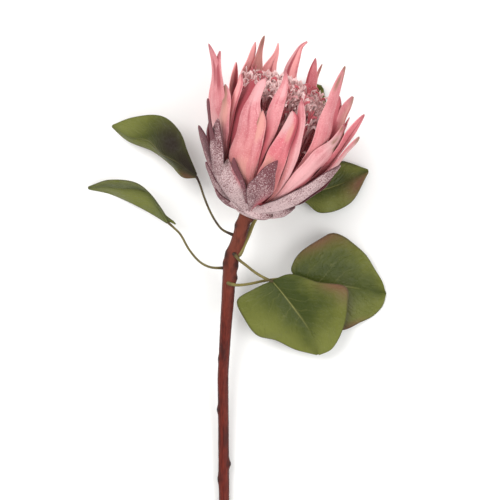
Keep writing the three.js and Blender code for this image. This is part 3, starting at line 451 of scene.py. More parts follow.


# Plum cloth with grey-pink flock blown on: dense at the foot, thinning to separate specks at the tip.
# Painted shade darkens its edges, where the bracts overlap.
def mauve_cloth(settings):
    material, tree = new_material(
        "Flocked Polyester Mauve", 0.95, sheen=0.15, sheen_roughness=0.5, sheen_tint="#FFF0F0")
    _, along, edge = sheet_coordinates(tree)
    bare, inside, red, brown = (
        add_node(tree, "Attribute", None, "Fac", attribute_name=name)
        for name in ("bare", "inside", "red", "brown"))
    place = add_node(tree, "TexCoord", None, "Object")
    # Flock specks, drawn 1 mm across because real ones would be too fine to show
    specks = add_node(tree, "TexNoise", {"Vector": place, "Scale": 1050.0, "Detail": 2.0, "Roughness": 0.9})
    # Thin places in the flock, about 11 mm wide
    clouds = add_node(tree, "TexNoise", {"Vector": place, "Scale": 90.0, "Detail": 3.0})
    foot = add_node(tree, "MapRange", {0: along, 1: 0.3, 2: 1.0, 3: 0.14, 4: 0.0})
    patchy = add_node(tree, "Math", {0: clouds, 1: 0.25, 2: foot}, operation="MULTIPLY_ADD")
    thinned = add_node(tree, "Math", {0: bare, 1: -0.2, 2: patchy}, operation="MULTIPLY_ADD")
    loose = add_node(tree, "Math", {0: thinned, 1: specks}, operation="ADD")
    colour = paint_over(tree, settings.plum, [
        (clouds, 0.0, 1.0, 1.0, "#7A4048"), (loose, 0.56, 0.74, 1.0, settings.flock),
        # Painted shade: a dark line along every edge, where the bracts overlap; the burgundy inside paint is
        # their inner face, and on m1 painted shade in a gap
        (edge, 0.89, 0.98, 0.9, "#4A2028"), (inside, 0.0, 1.0, 1.0, "#431820"),
        (red, 0.0, 1.0, 1.0, "#A8404F"), (brown, 0.0, 1.0, 1.0, "#46302A")])
    return dress(material, colour, [(0.8, 0.0006, specks)])


# The mauve bracts' inner face, a dark burgundy dye without flock.
def burgundy_cloth():
    material, tree = new_material(
        "Dyed Polyester Burgundy", 0.75, sheen=0.15, sheen_roughness=0.4, sheen_tint="#FFC8C8")
    edge = sheet_coordinates(tree)[2]
    place = add_node(tree, "TexCoord", None, "Object")
    # Clouds of dye about 6 mm wide
    clouds = add_node(tree, "TexNoise", {"Vector": place, "Scale": 160.0, "Detail": 4.0})
    colour = paint_over(
        tree, "#4A1C25", [(clouds, 0.0, 1.0, 1.0, "#7C3A44"), (edge, 0.85, 1.0, 0.6, "#A8787C")])
    return dress(material, colour, [(0.4, 0.0004, clouds)])


# Thin cloth slips dipped in flock: whitish pink and fuzzy at their curled ends, crimson further down.
def floret_flock(settings):
    material, tree = new_material(
        "Flocked Floret Slips", 1.0, sheen=0.2, sheen_roughness=0.5, sheen_tint="#FFF4F0")
    along, tone = (
        add_node(tree, "Attribute", None, "Fac", attribute_name=name) for name in ("along", "tone"))
    place = add_node(tree, "TexCoord", None, "Object")
    # Flock grains, here too drawn 1 mm across
    grains = add_node(tree, "TexNoise", {"Vector": place, "Scale": 900.0, "Detail": 3.0, "Roughness": 0.8})
    lifted = add_node(tree, "Math", {0: grains, 1: 0.8, 2: along}, operation="MULTIPLY_ADD")
    headed = add_node(tree, "MapRange", {0: lifted, 1: 0.55, 2: 1.0})
    # One floret in eight has hardly any flock
    flocked = add_node(tree, "MapRange", {0: tone, 1: 0.12, 2: 0.3, 3: 0.1})
    cover = add_node(tree, "Math", {0: headed, 1: flocked}, operation="MULTIPLY")
    colour = paint_over(
        tree, "#B23848", [(tone, 0.0, 1.0, 1.0, "#D0747A"), (cover, 0.0, 1.0, 1.0, settings.floret)])
    return dress(material, colour, [(0.9, 0.0006, grains)])


# Dyed wires packed close, which the cone under the florets stands for: smooth and a deep crimson.
def crimson_wire():
    material, tree = new_material("Dyed Crimson Wire", 0.55)
    place = add_node(tree, "TexCoord", None, "Object")
    # Lighter and darker wires, about 3 mm apart
    clouds = add_node(tree, "TexNoise", {"Vector": place, "Scale": 300.0, "Detail": 3.0})
    colour = paint_over(tree, "#B83648", [(clouds, 0.0, 1.0, 1.0, "#D86A78")])
    return dress(material, colour, [(0.3, 0.0003, clouds)])


# Red-brown bark, smooth and slightly waxy, with fine lengthwise fibres, darker blotches and scars,
# and painted shade down both sides.
def bark(settings):
    material, tree = new_material("Waxy Red-Brown Bark", 0.45, specular=0.18)
    along = sheet_coordinates(tree)[1]
    scar_and_side_shade = add_node(tree, "Attribute", None, "Fac", attribute_name="scar_and_side_shade")
    place = add_node(tree, "TexCoord", None, "Object")
    # Fibres about 1 mm wide and 20 mm long, and blotches about 6 mm wide and 25 mm long
    fibres = stretched_clouds(tree, place, (900.0, 45.0, 900.0), 3.0, 0.65)
    blotches = stretched_clouds(tree, place, (160.0, 40.0, 160.0), 4.0, 0.6)
    colour = paint_over(tree, settings.bark, [
        (fibres, 0.35, 0.68, 0.7, "#7C2E1E"),
        # Browner towards the bloom, redder towards the cut end
        (along, 0.4, 0.1, 0.7, "#703A2A"),
        # Knot scars, and painted shade down both sides of the stem
        (blotches, 0.48, 0.66, 0.8, "#35120F"), (scar_and_side_shade, 0.0, 1.0, 1.0, "#1C0E0D")])
    return dress(material, colour, [(0.8, 0.0006, fibres), (0.7, 0.0015, blotches)])


# Coated cloth leaf, printed and embossed: a satin olive face with raised veins and a browner margin,
# with painted highlights in its light patches and a painted shadow in one brown patch.
def leaf_cloth(settings):
    material, tree = new_material("Satin Coated Leaf Cloth", 0.36, specular=0.2)
    across, along, edge = sheet_coordinates(tree)
    brown, light, rust, midrib = (
        add_node(tree, "Attribute", None, "Fac", attribute_name=name)
        for name in ("brown", "light", "rust", "rib"))
    place = add_node(tree, "TexCoord", None, "Object")
    # Clouds of print and soft dents, about 17 mm wide
    clouds = add_node(tree, "TexNoise", {"Vector": place, "Scale": 60.0, "Detail": 5.0, "Roughness": 0.6})
    outward = add_node(tree, "Math", {0: clouds, 1: 1.3, 2: edge}, operation="MULTIPLY_ADD")
    tipward = add_node(tree, "Math", {0: along, 1: 0.9, 2: outward}, operation="MULTIPLY_ADD")
    # Side veins leave the midrib about every 12 mm and sweep towards the tip, with fine pleats between them
    swept = add_node(tree, "Math", {0: edge, 1: 0.8}, operation="POWER")
    rising = add_node(tree, "Math", {0: swept, 1: -0.42, 2: along}, operation="MULTIPLY_ADD")
    sides = add_node(tree, "Math", {0: across, 1: 0.5}, operation="GREATER_THAN")
    staggered = add_node(tree, "Math", {0: sides, 1: 0.06, 2: rising}, operation="MULTIPLY_ADD")
    wavering = add_node(tree, "Math", {0: clouds, 1: 0.25, 2: staggered}, operation="MULTIPLY_ADD")
    fan = add_node(tree, "CombineXYZ", {0: wavering, 1: edge, 2: sides})
    pleats = stretched_clouds(tree, fan, (34.0, 2.2, 9.0), 2.0, 0.5)
    saw = add_node(tree, "Math", {0: wavering, 1: 12.0}, operation="MULTIPLY")
    tooth = add_node(tree, "Math", {0: saw, 1: 1.0}, operation="PINGPONG")
    side_veins = add_node(tree, "MapRange", {0: tooth, 1: 0.12, 2: 0.0})
    # The veins fade towards the margin, and all of them past the middle of the blade
    marginal = add_node(tree, "MapRange", {0: edge, 1: 0.8, 2: 0.1, 4: 0.16})
    fading = add_node(tree, "MapRange", {0: along, 1: 0.75, 2: 0.4, 4: 0.9})
    faint = add_node(tree, "Math", {0: marginal, 1: fading}, operation="MULTIPLY")
    sideways = add_node(tree, "Math", {0: side_veins, 1: faint}, operation="MULTIPLY")
    rib = add_node(tree, "Math", {0: midrib, 1: fading}, operation="MULTIPLY")
    veins = add_node(tree, "Math", {0: sideways, 1: rib}, operation="MAXIMUM")
    # Dark margins and brown patches, of which leaf_4's is partly a painted shadow beside leaf_3
    margin = add_node(tree, "MapRange", {0: edge, 1: 0.95, 2: 1.0, 4: 0.6})
    browned_and_shaded = add_node(tree, "Math", {0: margin, 1: brown}, operation="MAXIMUM")
    colour = paint_over(tree, settings.green, [
        # The light paint is painted highlight, partly over a yellower print
        (tipward, 1.3, 2.2, 1.0, settings.olive), (light, 0.0, 1.0, 1.0, "#6C7034"),
        (veins, 0.0, 1.0, 1.0, "#98945A"), (rust, 0.0, 1.0, 1.0, "#6E4C36"),
        (browned_and_shaded, 0.0, 1.0, 1.0, "#281F17")])
    # Fine net of veins between the side veins, meshes about 2.5 mm wide
    net = add_node(tree, "TexVoronoi", {"Vector": place, "Scale": 400.0}, feature="DISTANCE_TO_EDGE")
    return dress(material, colour, [
        (0.4, 0.0005, net), (0.6, 0.004, clouds), (0.6, 0.0016, pleats), (0.5, 0.0006, veins)])


# The same cloth's underside, uncoated: greyer, paler and duller.
def leaf_underside():
    material, tree = new_material("Uncoated Leaf Cloth", 0.75, specular=0.2)
    edge = sheet_coordinates(tree)[2]
    place = add_node(tree, "TexCoord", None, "Object")
    # Soft dents about 11 mm wide
    clouds = add_node(tree, "TexNoise", {"Vector": place, "Scale": 90.0, "Detail": 4.0})
    colour = paint_over(
        tree, "#43452C", [(clouds, 0.0, 1.0, 1.0, "#5E5C42"), (edge, 0.05, 0.015, 0.8, "#7C7A54")])
    return dress(material, colour, [(0.3, 0.002, clouds)])


# Wire wrapped in tape and painted: yellow-green in the middle, browner where it meets stem and blade.
def stalk_tape():
    material, tree = new_material("Painted Stalk Tape", 0.55, specular=0.25)
    brown = add_node(tree, "Attribute", None, "Fac", attribute_name="brown")
    place = add_node(tree, "TexCoord", None, "Object")
    # Uneven wrapping, in turns of about 7 mm
    clouds = add_node(tree, "TexNoise", {"Vector": place, "Scale": 140.0, "Detail": 3.0})
    ends = add_node(tree, "Math", {0: clouds, 1: 0.8, 2: brown}, operation="MULTIPLY_ADD")
    colour = paint_over(tree, "#8A8048", [(ends, 0.35, 1.3, 1.0, "#33241A")])
    return dress(material, colour, [(0.4, 0.0004, clouds)])


# The bloom's goblets, surfaces of revolution on which its bracts lie, as height and radius in mm
PINK_GOBLET = [
    (2, 7), (6, 12), (10, 17.5), (14.7, 22.5), (20, 28.5), (27, 35.5), (35, 40.5), (45, 44.5), (55, 46.5),
    (70, 48), (85, 47.5), (100, 45), (115, 42), (135, 38)]
MAUVE_GOBLET = [
    (-2.5, 6), (-1.2, 10), (0, 14), (5.5, 19.6), (13, 26.6), (18, 32.4), (25, 39), (35, 44.5), (45, 48),
    (60, 50.5), (75, 51), (90, 49.5), (105, 47)]
# What all bracts of a kind share. Lengths in mm, angles in degrees. sheet is how many columns and rows a
# bract has, phase how its ruffles shift from one to the next, cup_radius and cup_height where on the cup a
# drawn one's root is, keel and wave how high its middle line and its ruffles stand. The rest is for the
# bracts of the far side: width is the greatest one, peak where along the bract it is, foot the share of it
# left at the root, taper and point how the bract narrows, cup how far it curls in, spread and flare its
# slopes away from the axis at root and tip, and the handles how far each of the two slopes holds.
PINK_KIND = {
    "goblet": PINK_GOBLET, "sheet": (10, 24), "phase": 2.4, "cup_radius": 12.5, "cup_height": 6.3,
    "keel": 1.2, "wave": 0.9, "width": 22, "foot": 0.3, "peak": 0.48, "taper": 1.5, "point": 1.0, "cup": 22,
    "root_radius": 7, "root_height": 3.5, "root_handle": 0.37, "spread": 55, "tip_handle": 0.42, "flare": 8}
MAUVE_KIND = {
    "goblet": MAUVE_GOBLET, "sheet": (8, 18), "phase": 1, "cup_radius": 14, "cup_height": 2.4,
    "keel": 0.6, "wave": 0.8, "width": 25, "foot": 0.4, "peak": 0.45, "taper": 1.6, "point": 0.9, "cup": 12,
    "root_radius": 10, "root_height": 0, "root_handle": 0.36, "spread": 48, "tip_handle": 0.36, "flare": 10}
# A far bract's tip is this wide to either side, and past CURL_FROM of its length it curls in
BLUNT = 0.35
CURL_FROM = 0.4
# How far a drawn bract is arched, as a share of its width, and from what width in mm its form is full
ARCH = 0.08
FULL_FORM_WIDTH = 12
# A bract's edges are ruffled in this many half waves, and curl up past LIP_FROM of its half width
RUFFLES = 7.5
LIP, LIP_FROM = 0.9, 0.7
PLEAT = 0.35

# The bracts that show are drawn by their two edges as seen from above, from foot to tip, on a grid of
# squares of GRID mm, counted from its left and its upper edge. The grid's middle is the drawing's origin, and
# it is seen from SEEN_FROM. Each bract lies on its kind's goblet, on the near side (1) unless side says the
# far one (-1), lifted from it by lift mm.
GRID = 0.75
GRID_MIDDLE = 250
SEEN_FROM = np.array((0.0, 0.0, 1541.0))
# How gently the goblet is followed where it turns out of sight, and how many rounds find its radius
TURN_SOFTLY = 12
ROUNDS = 6
# A drawn bract lies on the goblet, but past LEAVING_AT of its length it stands off rather than wind round
# the bloom by more than SLACK, and one that is SIDE_FROM to SIDE_TO round it goes straight out
LEAVING_AT = 0.4
SLACK = math.radians(10)
FURTHEST_ROUND = (math.radians(60), math.radians(80))
SIDE_FROM = math.radians(35)
SIDE_TO = math.radians(55)
# This share of a drawn bract's length, its root, runs from its cup to its drawn foot
ROOT_SHARE = 0.1

# Paint is given as patches: place across, place along, and their two half sizes. tone says how red a bract
# is dyed. red patches are partly crimson dye and partly painted shade, in folds and in gaps between bracts.
# Patches of the light pink #FFB2B0 are painted light on faces that lie in shade, mostly the far bracts' inner
# faces and b2's upper part
PINK_BRACTS = {
    "p2": {
        "side": -1, "lift": 0, "tone": 0.2, "painted_light": [(-0.7, 0.8, 0.5, 2)], "red": [(0.3, 0.75, 0.5, 0.4)],
        "left": [(236, 190), (231, 150), (229, 110), (229, 90), (230.5, 78), (233, 69), (236, 61.5)],
        "right": [(244, 190), (243, 150), (238, 110), (236, 90), (238, 79), (237.8, 70), (236.5, 62)]},
    "p3": {
        "side": -1, "lift": 0, "tone": 0.0, "painted_light": [(0, 0.8, 3, 3)], "red": [(1, 0.96, 0.6, 0.07)],
        "left": [(243, 190), (240, 150), (238, 110), (238, 85), (241, 71), (247.5, 59), (252, 47),
            (255.3, 41.5)],
        "right": [(252, 190), (254, 150), (254, 110), (251, 85), (250.5, 69), (254.5, 58), (256.3, 47),
            (255.9, 41.5)]},
    "p4": {
        "side": -1, "lift": -1.5, "tone": 0.3, "painted_light": [(0, 0.6, 2, 0.3)], "brown": [(-0.2, 1, 1, 0.1)],
        "peach": [(0, 0.85, 1.2, 0.12)], "red": [(-0.6, 0.72, 0.5, 0.12)],
        "left": [(250, 190), (250, 150), (250, 110), (250.5, 85), (250, 69), (255.5, 57), (259, 46),
            (261, 39), (264.3, 35)],
        "right": [(258, 190), (262, 150), (264, 110), (263, 85), (262.3, 66), (262.3, 52), (264, 44),
            (265, 39), (265, 35.5)]},
    "p5": {
        "side": -1, "lift": 0, "tone": 0.3, "painted_light": [(0, 0.8, 3, 3)], "red": [(-0.9, 0.7, 0.4, 0.1),
            (0.2, 0.8, 0.2, 0.1)],
        "left": [(254, 190), (255, 150), (256, 110), (257, 84), (261, 70), (268.5, 59), (275, 52),
            (276.3, 47), (277.8, 42.5)],
        "right": [(264, 190), (270, 150), (274, 110), (276, 84), (276.5, 66), (278.5, 57), (279.5, 51),
            (279.5, 46), (278.6, 42.5)]},
    "p6": {
        "side": -1, "lift": 0, "tone": 0.35, "painted_light": [(0.2, 0.7, 0.7, 0.4)],
        "pale": [(-0.9, 0.8, 0.4, 0.3)], "red": [(-0.35, 0.8, 0.22, 0.16)],
        "left": [(258, 190), (266, 150), (276, 110), (281, 84), (284.5, 67), (291, 56.5), (297.5, 47),
            (302, 42.3), (307.5, 40.7)],
        "right": [(270, 190), (284, 150), (294, 110), (295.5, 87), (297, 73), (300, 60), (301.8, 51),
            (303, 45.6), (308, 42.6)]},
    "p7b": {
        "side": -1, "lift": -1, "tone": 0.3, "brown": [(0.5, 1, 0.8, 0.1)],
        "left": [(268, 190), (285, 150), (305, 115), (312, 95), (314, 82), (317.5, 70), (320.5, 66.5),
            (322, 63.5)],
        "right": [(274, 190), (296, 150), (315, 115), (316.5, 95), (316.5, 84), (319, 74), (321.5, 68.5),
            (322.6, 64)]},
    "p7": {
        "side": -1, "lift": 1, "tone": 0.35, "red": [(-0.9, 0.8, 0.4, 0.35)],
        "left": [(266, 190), (280, 150), (295, 115), (301, 97), (305, 85), (308.3, 72), (312, 63),
            (315.3, 57.5)],
        "right": [(276, 190), (298, 150), (318, 115), (319, 97), (316, 86), (317, 72), (317, 64), (316, 58)]},
    "p1b": {
        "lift": -4.5, "tone": 0.3, "red": [(0.2, 0.85, 0.5, 0.1)],
        "left": [(232, 200), (222, 160), (215, 120), (214, 85), (215, 66), (217, 57), (219.7, 50.3)],
        "right": [(238, 200), (232, 160), (227, 120), (224, 85), (221.3, 68), (220.7, 58), (220.8, 50.8)]},
    "p1": {
        "lift": -2.5, "tone": 0.2, "frost": [(-0.3, 0.42, 0.6, 0.22)], "red": [(0.9, 0.72, 0.3, 0.14),
            (-0.1, 0.84, 0.3, 0.08)],
        "left": [(232, 205), (219, 175), (211, 140), (210, 110), (210.4, 92), (212.2, 75), (211.5, 60),
            (209.3, 49.5), (208.2, 43)],
        "right": [(240, 205), (234, 175), (229, 140), (227, 110), (225, 92), (222.5, 75), (219.5, 64),
            (214.5, 52), (208.8, 43.2)]},
    "b2r": {
        # Crimson all over: partly its dye and partly painted shade, as it lies in shadow between b2 and f1
        "lift": -6.5, "tone": 0.6, "red": [(0, 0.5, 3, 3)],
        "left": [(240, 200), (229, 165), (228, 140), (231, 115), (236, 100), (243, 90), (248, 84),
            (252, 80)],
        "right": [(246, 200), (240, 165), (245, 140), (250, 115), (253, 100), (256, 92), (256, 86),
            (254, 81)]},
    "b2": {
        "lift": -3, "tone": 0.35, "red": [(0.9, 0.6, 0.4, 0.25)], "painted_light": [(-0.2, 0.85, 0.8, 0.22)],
        "left": [(238, 200), (228, 170), (226.5, 150), (228.5, 130), (230.3, 110), (233, 94), (237.5, 84),
            (239.5, 74.5)],
        "right": [(241, 200), (231, 170), (228.5, 150), (231.5, 130), (235.5, 110), (240.5, 95), (243.5, 84),
            (242, 73)]},
    "b1": {
        "lift": -1.8, "tone": 0.1, "brown": [(-0.3, 0.97, 0.9, 0.16)], "frost": [(-0.8, 0.6, 0.7, 0.22)],
        "peach": [(0, 0.78, 0.9, 0.12)],
        "left": [(236, 202), (226, 180), (223.5, 150), (220.5, 130), (219.3, 118), (221.5, 104), (223.3, 93),
            (224.7, 84)],
        "right": [(240, 202), (229, 180), (226.3, 150), (228.7, 130), (230, 115), (231, 100), (229.5, 90),
            (225.6, 84)]},
    "f4": {
        "lift": -3.4, "tone": 0.2, "brown": [(-0.4, 0.9, 0.4, 0.05), (0.8, 0.95, 0.5, 0.05),
            (0, 1, 2, 0.03)],
        "left": [(262, 205), (279, 187), (296, 169), (306.5, 152), (314.5, 134), (320.5, 114), (325.5, 104),
            (329.5, 93), (334, 84), (339.5, 73), (344.7, 65.5)],
        "right": [(268, 205), (292, 187), (313, 162), (325, 145), (331, 128), (333.5, 114), (336.5, 104),
            (339, 93), (341.8, 83), (344.3, 74), (345.7, 66)]},
    "p8": {
        # Its red patch is partly crimson dye and partly painted shade, in the shadowed hollow beside f4
        "lift": -6.5, "tone": 0.75, "red": [(-0.6, 0.6, 0.6, 0.3)],
        "left": [(272, 205), (302, 180), (320, 155), (328, 140), (331, 126), (333.5, 114), (336, 104),
            (338.6, 95.5)],
        "right": [(276, 205), (312, 180), (331, 155), (337, 140), (339, 126), (340.5, 114), (341.7, 105),
            (339.6, 95.8)]},
    "p9": {
        "lift": -4.8, "tone": 0.3, "red": [(-0.9, 0.55, 0.4, 0.2)], "peach": [(0.3, 0.75, 0.8, 0.2)],
        "brown": [(0.6, 1, 1, 0.06)],
        "left": [(274, 206), (306, 183), (325, 158), (332, 140), (335.5, 122), (338.5, 111), (342.5, 104.5),
            (347.5, 99.8), (352, 95.8)],
        "right": [(279, 206), (315, 183), (335, 158), (341.5, 142), (344, 130), (345.5, 120), (349, 112),
            (352.5, 103.5), (354, 96.5)]},
    "p10": {
        "lift": -3.4, "tone": 0.8, "red": [(0.05, 0.75, 0.14, 0.4)],
        "left": [(274, 207), (300, 188), (318, 171), (330, 156.5), (338, 146), (344.5, 134), (352, 125),
            (359, 117.5), (364.2, 113.8)],
        "right": [(278, 207), (306, 191), (324, 175), (337, 158), (345, 147), (352, 137), (357.5, 129),
            (362.5, 120), (365, 114.6)]},
    "p11": {
        "lift": -2.0, "tone": 0.45, "frost": [(0.4, 0.6, 1.2, 0.6)], "brown": [(0, 1, 1.2, 0.08)],
        "left": [(274, 208), (300, 191), (320, 176), (335, 162), (345, 149.5), (352, 142), (356, 138.5),
            (359.3, 136.4)],
        "right": [(278, 208), (306, 194), (327, 178), (341, 161), (347, 153), (353, 147), (357.3, 142.5),
            (359.8, 137.2)]},
    "f2": {
        # Its red lower part is partly its crimson inner face and partly painted shade, in the fold beside f1
        "lift": -2.6, "tone": 0.1, "red": [(-0.5, 0.38, 0.8, 0.26), (0.3, 0.2, 2, 0.2),
            (-0.2, 0.3, 1.2, 0.2)], "pale": [(0.3, 0.84, 0.5, 0.08)],
        "left": [(252, 190), (256, 171), (260, 154), (263, 142), (265.3, 128), (266, 115), (269.5, 105),
            (274, 96), (279, 88), (283, 79), (285.3, 69.3)],
        "right": [(254, 190), (258, 174), (264, 157), (270, 145), (277.5, 130), (281.5, 117), (284.5, 106),
            (286.7, 97), (288.2, 88), (288.2, 78), (286.2, 69.3)]},
    "f1": {
        "lift": -1.4, "tone": 0.0, "pale": [(0.1, 0.9, 1, 0.15)], "brown": [(0.93, 0.66, 0.2, 0.08)],
        "peach": [(-0.2, 0.25, 0.8, 0.12)],
        "left": [(244, 190), (232, 172), (228.5, 160), (232, 145), (237, 129), (241, 115.5), (245.5, 103.5),
            (251, 94), (254.3, 87), (258.5, 81), (264, 78.3)],
        "right": [(250, 190), (257, 172), (260, 156), (263.5, 143), (265.3, 130), (263, 117), (260.7, 106),
            (261.7, 96.5), (264.3, 89), (266.6, 83), (266.2, 78)]},
    "f1b": {
        "lift": -0.3, "tone": 0.1, "brown": [(-0.95, 0.86, 0.45, 0.1)], "peach": [(-0.2, 0.84, 1.3, 0.2)],
        "left": [(247, 192), (246, 180), (246.5, 166), (249, 150), (253, 134), (257.5, 121), (262.5, 110.5)],
        "right": [(251, 192), (254.3, 176), (258, 162), (262, 147), (264.8, 134), (266.2, 122),
            (263.6, 110.5)]},
    "f3b": {
        "lift": -1.6, "tone": 0.0, "pale": [(0.6, 0.4, 0.7, 0.5)], "red": [(-0.7, 0.75, 0.6, 0.2)],
        "left": [(262, 205), (272, 195), (280, 180), (286, 163), (290.5, 146), (295, 130), (297, 117),
            (298, 107), (301, 99)],
        "right": [(266, 205), (278, 195), (289, 177), (296, 163), (300, 148), (303.5, 133), (305.3, 122),
            (305, 110), (302.3, 99)]},
    "f3": {
        "lift": -0.6, "tone": 0.65, "frost": [(-0.5, 0.92, 0.8, 0.2)], "red": [(0.85, 0.8, 0.3, 0.25)],
        "peach": [(0.3, 0.78, 0.4, 0.1), (-0.5, 0.45, 0.5, 0.08)],
        "left": [(253, 196), (257.5, 173), (263.5, 162), (268, 150), (272.5, 143), (278, 134.5),
            (282.5, 127), (287, 118.5), (291.5, 111)],
        "right": [(262, 202), (275, 190), (282, 172), (288, 155), (292.5, 141), (296.5, 129), (298.5, 120.5),
            (297, 114.5), (292.5, 110.5)]},
    "f5": {
        "lift": 0.2, "tone": 0.0, "frost": [(0, 0.84, 1.2, 0.1)], "brown": [(0.6, 0.93, 0.5, 0.04),
            (-0.4, 0.85, 0.35, 0.035), (0.5, 0.8, 0.3, 0.03), (-0.6, 0.95, 0.5, 0.03)],
        "pale": [(-0.1, 0.45, 1, 0.35)], "red": [(0.9, 0.35, 0.4, 0.3)],
        "left": [(264, 207), (276, 196), (288, 179.5), (300, 166), (310, 154), (320, 146.5), (330, 140),
            (338, 131.5), (343.4, 123.5)],
        "right": [(268, 208), (284, 197), (298, 188), (309, 179.5), (319, 169), (329, 157.5), (337.5, 147),
            (343.5, 136), (344.6, 125)]},
}

# The short mauve bracts that show. bare says how little flock a bract carries.
MAUVE_BRACTS = {
    "m3": {
        "lift": -3, "bare": 1.6,
        "left": [(238, 208), (222, 180), (213, 150), (209.5, 128), (208.3, 115), (207, 105), (207.2, 98)],
        "right": [(242, 208), (230, 180), (220, 150), (212.5, 128), (210.3, 115), (209.7, 105), (208.6, 98)]},
    "m2": {
        "lift": -1.5, "bare": 0.8, "inside": [(0.55, 0.7, 0.55, 0.26)],
        "left": [(238, 209), (222, 188), (210, 167), (205, 154), (201.8, 144), (199.4, 134), (198.2, 125)],
        "right": [(242, 209), (229, 188), (217, 167), (211, 154), (209.5, 144), (205.5, 134.5), (199, 125)]},
    "m4": {
        "lift": 0.5, "bare": 0.5,
        "left": [(240, 210.5), (228, 203), (218, 194), (212.5, 184), (208.5, 174), (206.3, 167),
            (205.5, 161.5)],
        "right": [(244, 210), (234, 202), (225, 192), (218, 183), (212.5, 173), (209, 166.5),
            (206.3, 161.5)]},
    "m7": {
        "lift": 1.2, "bare": 0.6,
        "left": [(243, 212), (237, 210), (230, 207), (224, 203), (219, 198), (216.3, 193), (214.8, 188.5)],
        "right": [(246, 210.5), (240.5, 207), (234.5, 203.5), (228.5, 200), (222.5, 196), (218.5, 192),
            (215.3, 188.3)]},
    "m1": {
        # Its dark inside patch is painted shade, in the gap along the foot of its left edge
        "lift": 0.8, "bare": 0.4, "inside": [(-1, 0.28, 0.35, 0.24)],
        "left": [(240, 208.5), (229, 198), (220, 186), (214, 172), (210.8, 156), (210.8, 142), (212.5, 129),
            (217.6, 118.3)],
        "right": [(246, 208.5), (238, 200), (230, 188), (226, 174), (225.2, 158), (223.5, 143), (221.3, 130),
            (218.6, 118.3)]},
    "m5b": {
        "lift": 0.8, "bare": 1.2,
        "left": [(246, 206), (243, 192), (239.5, 181), (235, 172.5), (232, 165), (233.2, 157.3)],
        "right": [(249, 206), (247.5, 192), (244.5, 181), (240.5, 172), (237, 164), (234.3, 157.3)]},
    "m5": {
        "lift": 1.8, "bare": 0.1, "brown": [(-0.2, 1, 1, 0.12)], "red": [(1, 0.62, 0.3, 0.25)],
        "left": [(244, 210), (238.5, 205), (232, 198), (226.5, 190), (222.3, 181), (222.3, 171),
            (224.5, 163.5), (227.5, 158.8)],
        "right": [(248.5, 210), (248.2, 203), (246.5, 194), (243, 185), (238.5, 177), (234, 170),
            (230.8, 163.5), (228.4, 158.8)]},
    "m12": {
        "lift": 0.8, "bare": 0.05, "inside": [(-0.7, 0.97, 0.6, 0.05)],
        "left": [(252, 210), (262, 204.8), (273, 200.5), (285, 195), (298, 189), (311, 181), (322, 174.3),
            (331, 169.5), (340.3, 164.6)],
        "right": [(254, 214.5), (264, 212.5), (276, 211.8), (288, 208.5), (300, 202), (312, 194.5),
            (323, 185.5), (333, 176), (341, 165.4)]},
    "m6": {
        "lift": 1.6, "bare": 0.75, "red": [(1, 0.24, 0.55, 0.2)],
        "left": [(248.5, 210), (247.6, 201), (246.8, 192), (248, 184), (255, 177.5), (262, 169),
            (269, 163.8), (277.4, 160)],
        "right": [(252, 209.5), (258, 204), (266.5, 198.5), (273, 193), (275.2, 185), (275.2, 176),
            (277, 168), (278.2, 160.3)]},
    "m13": {
        "lift": 0.8, "bare": 0.15, "inside": [(-0.6, 0.95, 0.9, 0.1)],
        "left": [(256, 211.5), (265, 210.5), (273, 211.5), (280, 210), (287, 208.5), (295, 206)],
        "right": [(256, 216.5), (265, 218.5), (273, 218.5), (281, 217.3), (288.5, 213.8), (295.7, 207.3)]},
    "m14": {
        "lift": 1.2, "bare": 0.0, "brown": [(0.2, 1, 1.5, 0.1)],
        "left": [(244, 209), (250, 207.6), (256, 206.8), (262, 206.7), (268, 208.3), (272.5, 212.3)],
        "right": [(242.5, 210.5), (247, 213.8), (253, 217.6), (260, 219.6), (267, 219.4), (273, 216.5)]},
}

# The far side of the bloom carries the same rows, from one turn about its axis to another in degrees
HIDDEN_PINK = {"from": 97, "to": 260, "count": 9}
HIDDEN_MAUVE = {"from": 112, "to": 248, "count": 7}
PINK_SEED, MAUVE_SEED = 11, 23
# Mauve bracts that point straight down or within this of it are pressed against the surface
PRESSED_WITHIN = 30
# The far bracts' numbers, which vary their streaks, start here, and their ruffles shift by FAR_PHASE
FIRST_FAR_NUMBER = 40
FAR_PHASE = 1.7

# Closed profiles of the cups and the cone that hold the bloom together, as radius and height
MAUVE_CUP = [
    (0, -1), (7.5, -1), (12, 0.3), (18.5, 5.8), (26, 13), (24.4, 14.4), (17, 7.6), (11, 2.6), (0, 2.6)]
PINK_CUP = [(0, 2.9), (10.8, 2.9), (16.8, 7.9), (23.5, 14.7), (21, 16.5), (14, 11), (0, 11)]
FLORET_CONE = [(0, 11.3), (13.6, 11.3), (20, 17), (24, 30), (23, 48), (15, 62), (0, 70)]


def spread_round(row):
    """Each place in a row of far bracts, with its share of the way and its turn about the axis."""
    for k in range(row["count"]):
        share = k / (row["count"] - 1)
        yield k, share, row["from"] + (row["to"] - row["from"]) * share


def hidden_pink():
    draw = seeded(PINK_SEED)
    bracts = []
    for _, share, turn in spread_round(HIDDEN_PINK):
        sway = 8 * (next(draw) - 0.5)
        # The outermost ones lean in to meet those that show
        reach = 52 + 2 * next(draw) - 6 * abs(2 * share - 1) ** 4
        height = 84 + 14 * next(draw)
        bracts.append({"turn": turn, "sway": sway, "reach": reach, "height": height})
    return bracts


def hidden_mauve(bloom):
    draw = seeded(MAUVE_SEED)
    bracts = []
    for k, _, turn in spread_round(HIDDEN_MAUVE):
        height = (47 if k % 2 else 56) + 4 * next(draw)
        if abs(turn - 180) < PRESSED_WITHIN:
            down = bloom.front[2] * math.cos(math.radians(turn))
            reach = -(bloom.base[2] + height * bloom.axis[2]) / down
        else:
            reach = 55 + 1.5 * next(draw)
        bracts.append({"turn": turn, "sway": 0, "reach": reach, "height": height})
    return bracts


